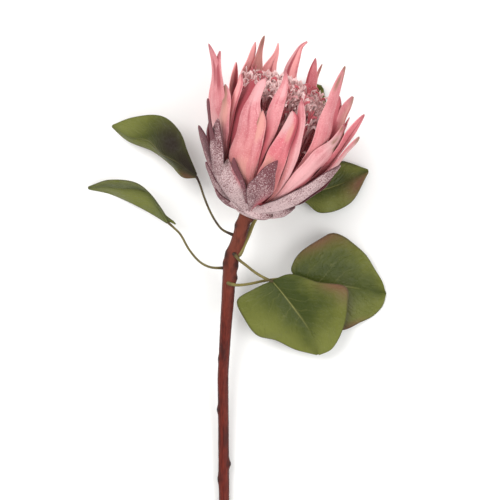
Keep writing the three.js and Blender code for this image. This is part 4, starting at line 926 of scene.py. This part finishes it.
def patches(spots, across, t):
    """How strongly patches of paint cover each point."""
    found = np.zeros(len(t))
    for x, y, wide, long in spots:
        found = np.maximum(found, np.exp(-(((across - x) / wide) ** 2) - ((t - y) / long) ** 2))
    return found


def half_width(bract, t):
    peak = bract["peak"]
    rising = bract["foot"] + (1 - bract["foot"]) * np.sin(math.pi / 2 * np.minimum(t / peak, 1))
    fall = np.clip((t - peak) / (1 - peak), 0, 1)
    falling = (1 - fall ** bract["taper"]) ** bract["point"]
    return np.maximum(BLUNT, bract["width"] / 2 * np.where(t < peak, rising, falling))


def centre_line(bract, t):
    """Radius and height of a far bract's centre line, out of the cup and up to the tip."""
    reach, height, radius, foot = (bract[k] for k in ("reach", "height", "root_radius", "root_height"))
    chord = math.hypot(reach - radius, height - foot)
    start, end = math.radians(bract["spread"]), math.radians(bract["flare"])
    out, back = bract["root_handle"] * chord, bract["tip_handle"] * chord
    stations = (
        (radius, foot), (radius + out * math.sin(start), foot + out * math.cos(start)),
        (reach - back * math.sin(end), height - back * math.cos(end)), (reach, height))
    weights = ((1 - t) ** 3, 3 * (1 - t) ** 2 * t, 3 * (1 - t) * t**2, t**3)
    return tuple(sum(w * station[k] for w, station in zip(weights, stations)) for k in (0, 1))


def soft_form(across, t, phase, keel, wave):
    """How far a bract stands off its plain curve: a raised middle line, ruffled edges and soft pleats."""
    body = np.sin(math.pi * np.clip(t, 0, 1)) ** 0.7
    ridge = keel * (1 - np.abs(across)) ** 1.6
    ruffle = wave * across**2 * np.sin(
        RUFFLES * math.pi * t + phase + 1.9 * np.sign(across) + 0.8 * np.sin(5 * t + phase))
    pleats = PLEAT * np.sin(2.6 * math.pi * across + phase + 2 * t)
    lip = LIP * smooth(LIP_FROM, 1, np.abs(across)) * (0.6 + 0.4 * np.sin(4 * t + phase + np.sign(across)))
    return body * (ridge + ruffle + pleats + lip)


def far_bract(bloom, bract, across, t, phase):
    """Where a far bract's middle sheet lies, from each point's place across and along it."""
    def turn_at(s):
        return bract["turn"] + bract["sway"] * s**1.5

    def centre_at(s):
        radius, height = centre_line(bract, s)
        return bloom.point(turn_at(s), radius, height)

    centre = centre_at(t)
    along = unit(centre_at(np.minimum(t + 0.02, 1)) - centre_at(np.maximum(t - 0.02, 0)))
    side = np.cross(bloom.axis, bloom.radial(turn_at(t)))
    side = unit(side - along * np.sum(side * along, axis=1, keepdims=True))
    face = np.cross(side, along)
    half = half_width(bract, t)
    hug = half / centre_line(bract, t)[0]
    half_angle = hug + math.radians(bract["cup"]) * np.maximum(0, (t - CURL_FROM) / (1 - CURL_FROM))
    angle = half_angle * across
    radius = half / half_angle
    lift = soft_form(across, t, phase, bract["keel"], bract["wave"]) - radius * (1 - np.cos(angle))
    return centre + side * (radius * np.sin(angle))[:, None] + face * lift[:, None]


def line_of_sight(bloom, seen):
    """Where the line of sight to each grid place comes nearest to the bloom's axis, its way, and how near."""
    right, up = (seen[:, 0] - GRID_MIDDLE) * GRID, (GRID_MIDDLE - seen[:, 1]) * GRID
    flat = np.stack([right, up, np.full(len(seen), bloom.base[2])], axis=1)
    sight = unit(SEEN_FROM - flat)
    offset = flat - bloom.base
    lean = sight @ bloom.axis
    slide = ((offset @ bloom.axis) * lean - np.sum(offset * sight, axis=1)) / (1 - lean**2)
    nearest = flat + sight * slide[:, None]
    return nearest, sight, np.linalg.norm(bloom.away(nearest), axis=1)


def at_radius(nearest, sight, distance, side, radius):
    """The near (1) or far (-1) place on each line of sight at a radius from the bloom's axis."""
    room = np.maximum(radius**2 - distance**2, 0)
    return nearest + sight * (side * room / np.sqrt(room + TURN_SOFTLY**2))[:, None]


def drawn_radius(bloom, kind, bract, seen):
    """The goblet's radius under the given places of a bract, and how far round the bloom they are."""
    nearest, sight, distance = line_of_sight(bloom, seen)
    heights, radii = zip(*kind["goblet"])
    found = nearest
    for _ in range(ROUNDS):
        radius = np.interp(bloom.height(found), heights, radii) + bract["lift"]
        found = at_radius(nearest, sight, distance, bract.get("side", 1), radius)
    return radius, distance, np.arcsin(np.minimum(distance / radius, 1))


def row_radius(bloom, kind, bract, centre, drawn):
    """The radius of each row: the goblet's, but a bract at the side goes straight out rather than round."""
    foot, leaving = drawn_radius(bloom, kind, bract, centre(np.array([0, LEAVING_AT])))[2]
    radius, distance, around = drawn_radius(bloom, kind, bract, centre(drawn))
    straight = foot + (leaving - foot) * np.minimum(1, drawn / LEAVING_AT)
    keeping = smooth(SIDE_FROM, SIDE_TO, leaving)
    most = np.clip(leaving + SLACK, *FURTHEST_ROUND)
    settled = np.minimum(around + (straight - around) * keeping, most)
    return np.where(np.abs(settled - around) > 0.001, distance / np.sin(np.maximum(settled, 0.01)), radius)


def drawn_bract(bloom, kind, bract, across, t, phase):
    """Where a drawn bract's middle sheet lies."""
    drawn = np.clip((t - ROOT_SHARE) / (1 - ROOT_SHARE), 0, 1)
    edges = [Line([(*p, 0) for p in bract[edge]]) for edge in ("left", "right")]
    left, right = (edge.at(drawn)[:, :2] for edge in edges)
    radius = row_radius(bloom, kind, bract, lambda at: sum(edge.at(at)[:, :2] for edge in edges) / 2, drawn)
    seen = left + (right - left) * ((across + 1) / 2)[:, None]
    found = at_radius(*line_of_sight(bloom, seen), bract.get("side", 1), radius)
    outward = unit(bloom.away(found))
    width = np.linalg.norm(right - left, axis=1) * GRID
    form = soft_form(across, t, phase, kind["keel"], kind["wave"]) * np.minimum(1, width / FULL_FORM_WIDTH)
    arch = ARCH * width * (1 - across**2)
    found = found + outward * (arch + form * bract.get("side", 1))[:, None]
    root = bloom.base + bloom.axis * kind["cup_height"] + outward * kind["cup_radius"]
    return found + (root - found) * np.clip(1 - t / ROOT_SHARE, 0, 1)[:, None]


# Paint that is not given for a bract: how red its dye and how thin its flock are
MEAN_TONE = 0.3
MEAN_BARE = 0.4


def painted(sheet, details, across, t, number=0):
    mark(sheet, "number", number)
    mark(sheet, "tone", details.get("tone", MEAN_TONE))
    mark(sheet, "bare", details.get("bare", MEAN_BARE))
    for paint in PAINTS:
        mark(sheet, paint, patches(details.get(paint, ()), across, t))


def bract_sheets(bloom, kind, drawn, hidden, lowest=-math.inf):
    """The middle sheets of a kind's bracts: the near ones with the hidden ones, and the drawn far ones."""
    blank = flat_sheet("bract blank", *kind["sheet"])
    across, t = shares(blank)
    near, far = [], []

    def add(sheets, name, found, details, number):
        sheet = twin(blank, name)
        move_to(sheet, rest_on_surface(found, lowest))
        painted(sheet, details, across, t, number)
        sheets.append(sheet)

    for number, (name, bract) in enumerate(drawn.items()):
        found = drawn_bract(bloom, kind, bract, across, t, kind["phase"] * number)
        add(near if bract.get("side", 1) > 0 else far, name, found, bract, number)
    for number, details in enumerate(hidden):
        found = far_bract(bloom, {**kind, **details}, across, t, FAR_PHASE * number)
        add(near, f"far {number}", found, details, FIRST_FAR_NUMBER + number)
    bpy.data.objects.remove(blank)
    return near, far


def give_thickness(sheets, name, materials, thickness):
    """Fuses sheets and gives them their thickness, with the second material on their inner faces."""
    ring = join(sheets, name)
    for material in materials:
        ring.data.materials.append(material)
    modify(ring, "SOLIDIFY", thickness=thickness, offset=0.0, material_offset=1, material_offset_rim=0)
    modify(ring, "SUBSURF", levels=1, render_levels=1)
    return ring


def finish_piece(piece, node_names):
    select(piece)
    bpy.ops.object.shade_smooth_by_angle(angle=SMOOTH_ANGLE)
    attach(piece, "root" if "root" in frame["bodies"] else next(iter(frame["bodies"])))
    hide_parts(*node_names)


class OBJECT_OT_protea_bracts_pink(bpy.types.Operator):
    """Adds the long pink bracts of the bloom, on their cup"""

    bl_idname = "object.protea_bracts_pink"
    bl_label = "Pink Bracts"

    def execute(self, context):
        settings = context.scene.protea_bloom
        bloom = Bloom(settings)
        face, inside = pink_cloth(settings), crimson_cloth(settings)
        near, far = bract_sheets(bloom, PINK_KIND, PINK_BRACTS, hidden_pink())
        ring = give_thickness(near, "pink near", (face, inside), settings.pink_thickness)
        # Of the drawn far ones the inner face shows, and it is as pink as the outer one
        rear = give_thickness(far, "pink far", (face, face), settings.pink_thickness)
        ring = join([ring, rear], "pink_bracts")
        cup = turned("pink cup", bloom, PINK_CUP, sides=48, steps=24)
        cup.data.materials.append(inside)
        finish_piece(join([ring, cup], "pink_bracts"), ["bracts_pink"])
        return {"FINISHED"}


class OBJECT_OT_protea_bracts_mauve(bpy.types.Operator):
    """Adds the short mauve bracts round the foot of the bloom, on their cup"""

    bl_idname = "object.protea_bracts_mauve"
    bl_label = "Mauve Bracts"

    def execute(self, context):
        settings = context.scene.protea_bloom
        bloom = Bloom(settings)
        face, inside = mauve_cloth(settings), burgundy_cloth()
        lowest = settings.mauve_thickness / MM / 2
        near, _ = bract_sheets(bloom, MAUVE_KIND, MAUVE_BRACTS, hidden_mauve(bloom), lowest)
        ring = give_thickness(near, "mauve_bracts", (face, inside), settings.mauve_thickness)
        cup = turned("mauve cup", bloom, MAUVE_CUP, sides=64, steps=30)
        nowhere = np.zeros(len(cup.data.vertices))
        painted(cup, {"bare": 0.0}, nowhere, nowhere)
        cup.data.materials.append(face)
        finish_piece(join([ring, cup], "mauve_bracts"), ["bracts_mauve"])
        return {"FINISHED"}


# A floret is a shaft that splits into slips, which curl out at the top. Lengths in mm.
FLORET_SEED = 5
GOLDEN_ANGLE = 137.508
SLIPS = 4
FLORET_COLUMNS, FLORET_ROWS = 5, 6
SHAFT_HALF_WIDTH = 0.8
SLIP_FLATNESS = 0.42
SLIP_RUFFLE = 0.3
MASS_INNER_RADIUS = 3
MASS_WIDTH = 31
MASS_HEIGHT = 95
# The mass slopes down to the right of SLOPE_FROM, where a leaf shows behind it
SLOPE, SLOPE_FROM = 0.6, 13
# Most of the florets past this share of the radius are shorter and show between the bracts
OUTERMOST, SHORTER_CHANCE = 0.8, 0.6
SHORTER_BY = (5, 28)


def floret_place(draw, number, spread):
    """Where a floret splits: its turn round the bloom's axis, its radius and its height."""
    turn = number * GOLDEN_ANGLE + 10 * (next(draw) - 0.5)
    radius = MASS_INNER_RADIUS + MASS_WIDTH * spread + 3 * (next(draw) - 0.5)
    swell = math.sin(math.radians(3 * turn) + 4 * spread) * math.cos(9 * spread + 1)
    height = MASS_HEIGHT - 6 * spread**2 + 3.5 * swell + 6 * (next(draw) - 0.5)
    height -= SLOPE * max(0, radius * math.sin(math.radians(turn)) - SLOPE_FROM)
    if spread > OUTERMOST and next(draw) < SHORTER_CHANCE:
        height -= SHORTER_BY[0] + SHORTER_BY[1] * next(draw)
    return turn, radius, height


def floret_lines(bloom, draw, turn, root, neck):
    """The centre lines and half widths of a floret's shaft and slips, and the turn of its first slip."""
    middle = (root + neck) / 2 + bloom.radial(turn) * (2 + 3 * (next(draw) - 0.5)) + bloom.axis
    rise = unit(neck - middle)
    lines = [(Line([root, (root + middle) / 2, middle, neck]), SHAFT_HALF_WIDTH)]
    first = 360 * next(draw)
    for slip in range(SLIPS):
        out = unit(np.cross(rise, bloom.radial(first + 360 / SLIPS * slip)))
        reach, curl = 5 + 5 * next(draw), 1.5 + 4.5 * next(draw)
        line = Line([
            neck - rise, neck + rise * 0.45 * reach + out * 0.8, neck + rise * 0.9 * reach + out * 2,
            neck + rise * (reach + 0.5) + out * curl, neck + rise * (reach - 1) + out * (curl + 1.2)])
        lines.append((line, 0.65 + 0.4 * next(draw)))
    return lines, first


def floret_form(bloom, lines, turn, first, part, angle, t):
    """Where each vertex of a floret lies, whose part says which of the lines it belongs to."""
    found = np.empty((len(t), 3))
    for number, (line, width) in enumerate(lines):
        mine = part == number
        share = t[mine]
        along = line.along(share)
        side = unit(np.cross(along, bloom.radial(turn + 90 * number) + 0.3 * bloom.right))
        up = np.cross(along, side)
        closing = np.clip((1 - share) * 8 + 0.15, 0, 1) ** 0.5
        flat, ruffled = (SLIP_FLATNESS, SLIP_RUFFLE) if number else (1.0, 0)
        ruffle = 1 + ruffled * np.sin(9 * share + first + number)
        wide = (width * ruffle * closing * np.cos(angle[mine]))[:, None]
        thin = (width * flat * closing * np.sin(angle[mine]))[:, None]
        found[mine] = line.at(share) + side * wide + up * thin
    return found


class OBJECT_OT_protea_florets(bpy.types.Operator):
    """Adds the mass of flocked florets in the middle of the bloom"""

    bl_idname = "object.protea_florets"
    bl_label = "Florets"

    def execute(self, context):
        settings = context.scene.protea_bloom
        bloom = Bloom(settings)
        draw = seeded(FLORET_SEED)
        parts = [flat_sheet(f"part {k}", FLORET_COLUMNS, FLORET_ROWS) for k in range(1 + SLIPS)]
        blank = join(parts, "floret blank")
        across, t = shares(blank)
        angle = math.pi * (across + 1)
        part = np.arange(len(t)) // (len(t) // (1 + SLIPS))
        florets = []
        for k in range(settings.floret_count):
            spread = math.sqrt((k + 0.5) / settings.floret_count)
            turn, radius, height = floret_place(draw, k, spread)
            root = bloom.point(turn, 5 + 14 * spread, 56 - 34 * spread**2)
            lines, first = floret_lines(bloom, draw, turn, root, bloom.point(turn, radius, height))
            floret = twin(blank, f"floret {k}")
            move_to(floret, floret_form(bloom, lines, turn, first, part, angle, t))
            # The flock is read from this, and it covers the slips but hardly the shaft
            mark(floret, "along", np.where(part == 0, 0.3 * t, 0.3 + 0.7 * t))
            mark(floret, "tone", next(draw))
            florets.append(floret)
        bpy.data.objects.remove(blank)
        mass = closed_tube(join(florets, "florets_flocked"), FLORET_COLUMNS)
        mass.data.materials.append(floret_flock(settings))
        cone = turned("floret cone", bloom, FLORET_CONE, sides=40, steps=24)
        mark(cone, "along", 0.0)
        mark(cone, "tone", 0.0)
        cone.data.materials.append(crimson_wire())
        finish_piece(join([mass, cone], "florets_flocked"), ["florets"])
        return {"FINISHED"}


# The stem's centre line, from inside the cup of the bloom to the cut end
STEM_LINE = [
    (-1.9, 29.5, 42), (-4.6, 21, 39.8), (-8, 10, 36.8), (-12.9, -4.5, 33), (-15, -13, 30.8), (-17, -39, 25.5),
    (-19.2, -72, 18.5), (-20.6, -99, 14.5), (-20.4, -122, 11.5), (-20.2, -163, 7), (-19.9, -192, 4.6),
    (-20, -216, 3.7)]
LEFT, RIGHT = 0.0, math.pi
# Knots and leaf scars: their place along Y, the side they stand out on, how far, and their half length
STEM_KNOTS = [
    (24.5, LEFT, 1.8, 1.6), (18, RIGHT, 0.9, 3), (-3.5, RIGHT, 1.3, 4), (-10.5, RIGHT, 1.0, 3),
    (-12, LEFT, 1.0, 4), (-21, LEFT, 1.5, 3), (-83, RIGHT, 0.5, 2.5), (-122, RIGHT, 1.0, 3),
    (-164, LEFT, 1.5, 3), (-176, RIGHT, 0.8, 4)]
STEM_SIDES, STEM_STEPS = 36, 300
# The stem slims from its top radius to its end radius between these shares of its length, and by STEM_TAPER
# evenly over all of it
STEM_SLIMS = (0.12, 0.5)
STEM_TAPER = 0.35
# How far the bark stands up and down, in mm
STEM_UNEVEN = 0.22


class OBJECT_OT_protea_stem(bpy.types.Operator):
    """Adds the woody stem, with its knots and leaf scars"""

    bl_idname = "object.protea_stem"
    bl_label = "Stem"

    def execute(self, context):
        settings = context.scene.protea_stem
        top, end = settings.top_radius / MM, settings.end_radius / MM

        def radius_at(t, angle, centre):
            radius = top + (end + STEM_TAPER - top) * smooth(*STEM_SLIMS, t) - STEM_TAPER * t
            for y, side, proud, length in STEM_KNOTS:
                reach = np.exp(-(((centre[:, 1] - y) / length) ** 2))
                radius = radius + proud * reach * np.maximum(0, np.cos(angle - side)) ** 3
            uneven = [
                noise.noise(Vector((2.2 * math.cos(a), 2.2 * math.sin(a), 0.06 * y)))
                + 0.5 * noise.noise(Vector((4 * math.cos(a), 4 * math.sin(a), 0.3 * y)))
                for a, y in zip(angle, centre[:, 1])]
            return radius + STEM_UNEVEN * np.array(uneven)

        tube, found, t, angle = tube_round("stem_bark", Line(STEM_LINE), radius_at, STEM_SIDES, STEM_STEPS)
        move_to(tube, rest_on_surface(found, 0.0))
        scar_and_side_shade = np.zeros(len(t))
        for y, side, _, length in STEM_KNOTS:
            near = np.exp(-(((found[:, 1] - y) / (0.8 * length)) ** 2))
            scar_and_side_shade = np.maximum(scar_and_side_shade, near * np.maximum(0, np.cos(angle - side)) ** 2)
        # Painted shade darkens the bark down both sides, where the round stem turns from the light
        scar_and_side_shade = np.maximum(scar_and_side_shade, 0.45 * np.abs(np.cos(angle)) ** 5)
        mark(tube, "scar_and_side_shade", np.clip(scar_and_side_shade, 0, 1))
        closed_tube(tube, STEM_SIDES)
        tube.data.materials.append(bark(settings))
        finish_piece(tube, ["stem"])
        return {"FINISHED"}


# Each leaf is given by its midrib and its two margins, all from the stalk to the tip, and by its stalk,
# from the stem to the blade. brown, rust and light list patches as place across, place along, and their
# two half sizes. stout scales the stalk, dark is how much of it is brown.
# Patches called light are painted highlight, partly over a yellower print
LEAVES = {
    "leaf_1": {
        "stout": 0.85, "dark": 0.75, "brown": [(0.35, 0.1, 1.05, 0.4), (0.48, 0.36, 0.78, 0.22)],
        "light": [(-0.6, 0.7, 0.6, 0.4), (0.4, 0.9, 0.8, 0.25), (-0.95, 0.25, 0.3, 0.25)],
        "rust": [(-0.75, 0.1, 0.4, 0.09)],
        "stalk": [(-12, 11, 37), (-21, 15.5, 35), (-26.5, 22.5, 33), (-31, 31, 32), (-35, 41, 31),
            (-38, 50, 30.5), (-41, 56.5, 30)],
        "rib": [(-40.4, 55.9, 30), (-56, 67, 28), (-67, 73, 24), (-77, 83, 21), (-93, 87, 16),
            (-105.5, 95, 12)],
        "left": [(-40.4, 54.6, 29.3), (-50.5, 55, 24), (-60, 64.5, 19), (-74, 75.3, 14), (-93.5, 83.6, 10),
            (-105.4, 93.8, 11.2)],
        "right": [(-40, 57.6, 30.6), (-46.8, 74, 34), (-53, 89.5, 35), (-66, 101, 31), (-88.6, 101, 21),
            (-104.6, 95.9, 12.8)]},
    "leaf_2": {
        "stout": 0.9, "dark": 0.5, "light": [(-0.5, 0.5, 0.6, 0.5), (0.95, 0.1, 0.4, 0.1)],
        "stalk": [(-18, -13.6, 31), (-30, -13, 28), (-38, -9, 25), (-46, 0, 23.5), (-53, 12, 22),
            (-58, 17, 21), (-63, 21.5, 20)],
        "rib": [(-62.9, 21.3, 20), (-70, 33, 21), (-78.4, 44.5, 19), (-97, 46.8, 13), (-113.5, 48.7, 7),
            (-124.6, 47.8, 3)],
        "left": [(-62.8, 20, 19.2), (-71.4, 25.4, 14), (-82, 31.4, 9), (-95.4, 38.1, 4), (-108.8, 43.6, 0.2),
            (-124.2, 46.8, 2)],
        "right": [(-61, 21.9, 20.8), (-56.2, 19.3, 21.6), (-58.2, 21.9, 23), (-62.6, 24.6, 24),
            (-67.3, 31.5, 27), (-76, 43, 30), (-86, 50.6, 28), (-107, 53.4, 17), (-124.2, 48.8, 4)]},
    "leaf_3": {
        "stout": 1.1, "dark": 0.45, "rust": [(-0.98, 0.44, 0.2, 0.11)], "light": [(0.78, 0.6, 0.45, 0.38),
            (-0.5, 0.9, 0.75, 0.22)],
        "stalk": [(-12.6, -2.2, 37.8), (-11.3, -3.6, 38.8), (-8.2, -7.4, 38.2), (-3.6, -11, 36.6),
            (3.2, -16.4, 33.6), (10, -20.6, 31.5), (17.5, -24, 30)],
        "rib": [(16.6, -23.4, 30), (24.2, -32.3, 28.5), (33, -43.7, 25), (43, -57.5, 20), (49.5, -70, 15.5),
            (52, -79.6, 12)],
        "left": [(17.6, -22.4, 30.3), (30.6, -18.1, 30.5), (51.4, -24.2, 29), (73.3, -28.4, 24),
            (74.3, -41, 21.5), (71.4, -58.5, 17), (62.5, -75.5, 13.5), (53, -80.3, 12)],
        "right": [(15.5, -23.6, 30), (2, -30, 28.5), (-9.8, -38.2, 27), (-4.6, -51.6, 23.5),
            (5.1, -64.6, 20), (19.6, -68.7, 17), (34.2, -75.8, 13.5), (51, -80.3, 11.8)]},
    "leaf_4": {
        # Its brown patch is partly a painted shadow beside leaf_3 and partly its browner edge
        "stout": 1.1, "dark": 0.25, "brown": [(0.7, 0.53, 0.6, 0.08)], "rust": [(-1.0, 0.36, 0.18, 0.17),
            (0.98, 0.62, 0.1, 0.12)], "light": [(0.7, 0.4, 0.6, 0.4)],
        "stalk": [(-17.4, -24, 32), (-16, -25.1, 32.8), (-12, -26.2, 32), (-8, -26.5, 29.5), (-1, -25.8, 25),
            (12, -23.2, 19), (24, -22, 17.5), (38, -23, 17)],
        "rib": [(36.6, -22.9, 17), (53.4, -25.2, 15), (76.6, -28.3, 9), (104.8, -33.1, 1.2)],
        "left": [(36.4, -21.4, 17.6), (31.4, -16, 18.5), (33, -9, 18.5), (38.1, -1.9, 17.5),
            (54.9, 9.4, 15.5), (62.5, 13, 14), (70.5, 11, 12.5), (79.5, 4.6, 10.5), (88.6, -3.5, 8.5),
            (95.9, -14.9, 6), (101.8, -24.6, 4), (104.4, -33, 2)],
        "right": [(37.3, -24.2, 16.6), (39, -44, 12), (54, -60, 7.5), (71.7, -61.4, 5), (84.8, -55.6, 2.5),
            (94.6, -50.8, 1), (102, -43, 1), (104.5, -35.5, 1.4)]},
    "leaf_5": {
        "stout": 1.6, "dark": 0.1, "brown": [(-1, 0.6, 0.15, 0.3)], "rust": [(0.6, 0.85, 0.5, 0.16)],
        "light": [(0.7, 0.5, 0.4, 0.4)],
        "stalk": [(-9.6, -4.4, 34.5), (-7.2, -1.5, 35.2), (-4.6, 4, 35), (-1.3, 10.8, 32), (3.3, 21.9, 26),
            (9, 29, 18), (17, 35.5, 12), (27.5, 41, 9.5)],
        "rib": [(26.3, 40.4, 9.5), (42, 43, 9.5), (65.2, 49, 8), (91, 60.6, 5)],
        "left": [(27.2, 41.6, 9), (34, 52, 4), (48, 64.5, 4), (68.5, 68.6, 4.5), (90.6, 62, 5)],
        "right": [(27, 39.2, 9.4), (40.5, 37.4, 9.5), (54, 28.4, 9.5), (76.5, 35.6, 8), (90.8, 59.2, 4.8)]},
    "leaf_6": {
        "stout": 1.0, "dark": 0.5,
        "stalk": [(-6.5, 12, 36), (-6.5, 14, 28.5), (-5.6, 21, 22), (-6.5, 32, 17), (-13.5, 53, 10),
            (-15.4, 79, 5), (-5.5, 101.5, 4)],
        "rib": [(-6.4, 100.6, 4), (13, 107, 3), (34, 113.5, 2.6), (55.8, 125, 3)],
        "left": [(-6.6, 102, 3.8), (9, 118, 2.6), (32, 124, 2.4), (46, 128.5, 3), (55, 126.6, 3)],
        "right": [(-5.6, 99.4, 3.8), (16, 95, 1.8), (42, 96, 2), (58, 108, 2.8), (56.6, 124, 3)]},
}
BLADE_COLUMNS, BLADE_ROWS = 32, 64
# Each half of a blade bellies by this share of its width
BLADE_BELLY = 0.06
# The groove along the midrib, its pale line and the ripple of the margins, in mm
GROOVE_DEPTH, GROOVE_HALF_WIDTH = 0.5, 1.1
RIB_HALF_WIDTH = 0.45
MARGIN_RIPPLE = 0.6
STALK_SIDES, STALK_STEPS = 12, 60


def leaf_blade(node, leaf, number, lowest):
    """The middle sheet of a leaf's blade, with the numbers that its material reads."""
    blade = flat_sheet(f"{node}_blade", BLADE_COLUMNS, BLADE_ROWS)
    across, t = shares(blade)
    # Closer columns along the midrib, which lies in a groove
    across = np.sign(across) * np.abs(across) ** 1.6
    rib, left, right = (Line(leaf[line]) for line in ("rib", "left", "right"))
    centre = rib.at(t)
    margin = np.where((across < 0)[:, None], left.at(t), right.at(t))
    share = np.abs(across)
    width = np.linalg.norm(margin - centre, axis=1)
    found = centre + (margin - centre) * share[:, None]
    flatter = 0.25 + 0.75 * smooth(1.0, 0.55, t)
    found[:, 2] += 4 * BLADE_BELLY * share * (1 - share) * width * flatter
    groove = np.exp(-((share * width / GROOVE_HALF_WIDTH) ** 2))
    found[:, 2] -= GROOVE_DEPTH * groove * smooth(1.0, 0.6, t)
    ripple = np.sin(9 * math.pi * t + 2 * number + np.sign(across)) * np.sin(math.pi * t)
    found[:, 2] += MARGIN_RIPPLE * share**3 * ripple
    move_to(blade, rest_on_surface(found, lowest))
    corners = np.empty(len(blade.data.loops), np.int32)
    blade.data.loops.foreach_get("vertex_index", corners)
    flat = np.stack([(across[corners] + 1) / 2, t[corners]], axis=1)
    blade.data.uv_layers.active.data.foreach_set("uv", flat.ravel())
    for paint in ("brown", "light", "rust"):
        mark(blade, paint, patches(leaf.get(paint, ()), across, t))
    mark(blade, "rib", np.exp(-((share * width / RIB_HALF_WIDTH) ** 2)))
    return blade


def leaf_stalk(node, leaf, settings):
    """A leaf's stalk, flared where it leaves the stem, with how brown it is."""
    def radius_at(share, angle, centre):
        flare = 1 + 0.9 * np.exp(-share * 14) + 0.25 * np.exp(-((share - 1) * 16) ** 2)
        close = np.clip(share * 40 + 0.1, 0, 1) ** 0.5 * np.clip((1 - share) * 40 + 0.1, 0, 1) ** 0.5
        return leaf["stout"] * settings.stalk_radius / MM * flare * close

    stalk, found, t, _ = tube_round(f"{node} stalk", Line(leaf["stalk"]), radius_at, STALK_SIDES, STALK_STEPS)
    darker = 1.5 * np.exp(-((t / 0.06) ** 2)) + 0.8 * smooth(0.85, 1.0, t)
    mark(stalk, "brown", leaf["dark"] * (1 + darker))
    move_to(stalk, rest_on_surface(found, 0.0))
    return closed_tube(stalk, STALK_SIDES)


class OBJECT_OT_protea_leaves(bpy.types.Operator):
    """Adds the six leaves, each with its stalk"""

    bl_idname = "object.protea_leaves"
    bl_label = "Leaves"

    def execute(self, context):
        settings = context.scene.protea_leaves
        face, underside, tape = leaf_cloth(settings), leaf_underside(), stalk_tape()
        for number, (node, leaf) in enumerate(LEAVES.items()):
            blade = leaf_blade(node, leaf, number, settings.thickness / MM / 2)
            for material in (face, underside, tape):
                blade.data.materials.append(material)
            modify(
                blade, "SOLIDIFY", thickness=settings.thickness, offset=0.0, material_offset=1,
                material_offset_rim=0)
            stalk = leaf_stalk(node, leaf, settings)
            stalk.data.materials.append(tape)
            finish_piece(join([blade, stalk], f"{node}_blade"), [node])
        return {"FINISHED"}


# The stage's sizes are in metres. The floor lies just under the flower, so that the two never share a face.
FLOOR_SIZE = 6
FLOOR_DROP = 0.0002
SOFT_BOX_SIZE = 1.1
KEY_PLACE = (-0.75, 0.65, 1.35)
FILL_PLACE = (0.95, -0.25, 1.25)
# The camera's sensor width in mm
SENSOR = 36


class OBJECT_OT_protea_stage(bpy.types.Operator):
    """Adds the plain pale floor, the soft lights and the camera that looks down on the flower"""

    bl_idname = "object.protea_stage"
    bl_label = "Stage"

    def execute(self, context):
        settings = context.scene.protea_stage
        deselect()
        bpy.ops.mesh.primitive_plane_add(size=FLOOR_SIZE, location=(0, 0, -FLOOR_DROP))
        floor = context.object
        floor.name = "floor"
        paper, tree = new_material("Matt White Paper", 0.9, specular=0.1)
        tree.nodes["Principled BSDF"].inputs["Base Color"].default_value = opaque("#F7F7F5")
        floor.data.materials.append(paper)
        for name, power, place in (
            ("key", settings.key_power, KEY_PLACE), ("fill", settings.fill_power, FILL_PLACE),
        ):
            bpy.ops.object.light_add(type="AREA", location=place)
            light = context.object
            light.name = name
            light.data.shape = "DISK"
            light.data.size = SOFT_BOX_SIZE
            light.data.energy = power
            light.rotation_euler = (-Vector(place)).to_track_quat("-Z", "Y").to_euler()
        world = bpy.data.worlds.new("even light")
        world.use_nodes = True
        background = world.node_tree.nodes["Background"]
        background.inputs["Color"].default_value = (1.0, 1.0, 1.0, 1.0)
        background.inputs["Strength"].default_value = settings.sky
        context.scene.world = world
        context.scene.view_settings.view_transform = "Standard"
        bpy.ops.object.camera_add(location=(PLACE[0] * MM, PLACE[1] * MM, settings.camera_height))
        camera = context.object
        camera.name = "camera"
        camera.data.sensor_width = SENSOR
        bloom_height = Bloom(context.scene.protea_bloom).base[2] * MM
        camera.data.lens = SENSOR * (settings.camera_height - bloom_height) / settings.photo_width
        camera.data.clip_end = 20
        context.scene.camera = camera
        return {"FINISHED"}


SETTINGS = {
    "protea_bloom": BloomSettings, "protea_stem": StemSettings, "protea_leaves": LeafSettings,
    "protea_stage": StageSettings}
OPERATORS = (
    OBJECT_OT_protea_stem, OBJECT_OT_protea_leaves, OBJECT_OT_protea_bracts_mauve,
    OBJECT_OT_protea_bracts_pink, OBJECT_OT_protea_florets, OBJECT_OT_protea_stage)


class VIEW3D_PT_protea(bpy.types.Panel):
    bl_label = "Protea Flower"
    bl_space_type = "VIEW_3D"
    bl_region_type = "UI"
    bl_category = "Protea"

    def draw(self, context):
        for group, kind in SETTINGS.items():
            box = self.layout.box()
            for name in kind.__annotations__:
                box.prop(getattr(context.scene, group), name)
        for operator in OPERATORS:
            self.layout.operator(operator.bl_idname)


CLASSES = (*SETTINGS.values(), *OPERATORS, VIEW3D_PT_protea)


def register():
    for cls in CLASSES:
        bpy.utils.register_class(cls)
    for group, kind in SETTINGS.items():
        setattr(bpy.types.Scene, group, bpy.props.PointerProperty(type=kind))


def unregister():
    for group in SETTINGS:
        delattr(bpy.types.Scene, group)
    for cls in reversed(CLASSES):
        bpy.utils.unregister_class(cls)


def main():
    register()
    bpy.ops.object.protea_stem()
    bpy.ops.object.protea_leaves()
    bpy.ops.object.protea_bracts_mauve()
    bpy.ops.object.protea_bracts_pink()
    bpy.ops.object.protea_florets()
    bpy.ops.object.protea_stage()


if __name__ == "__main__":
    main()
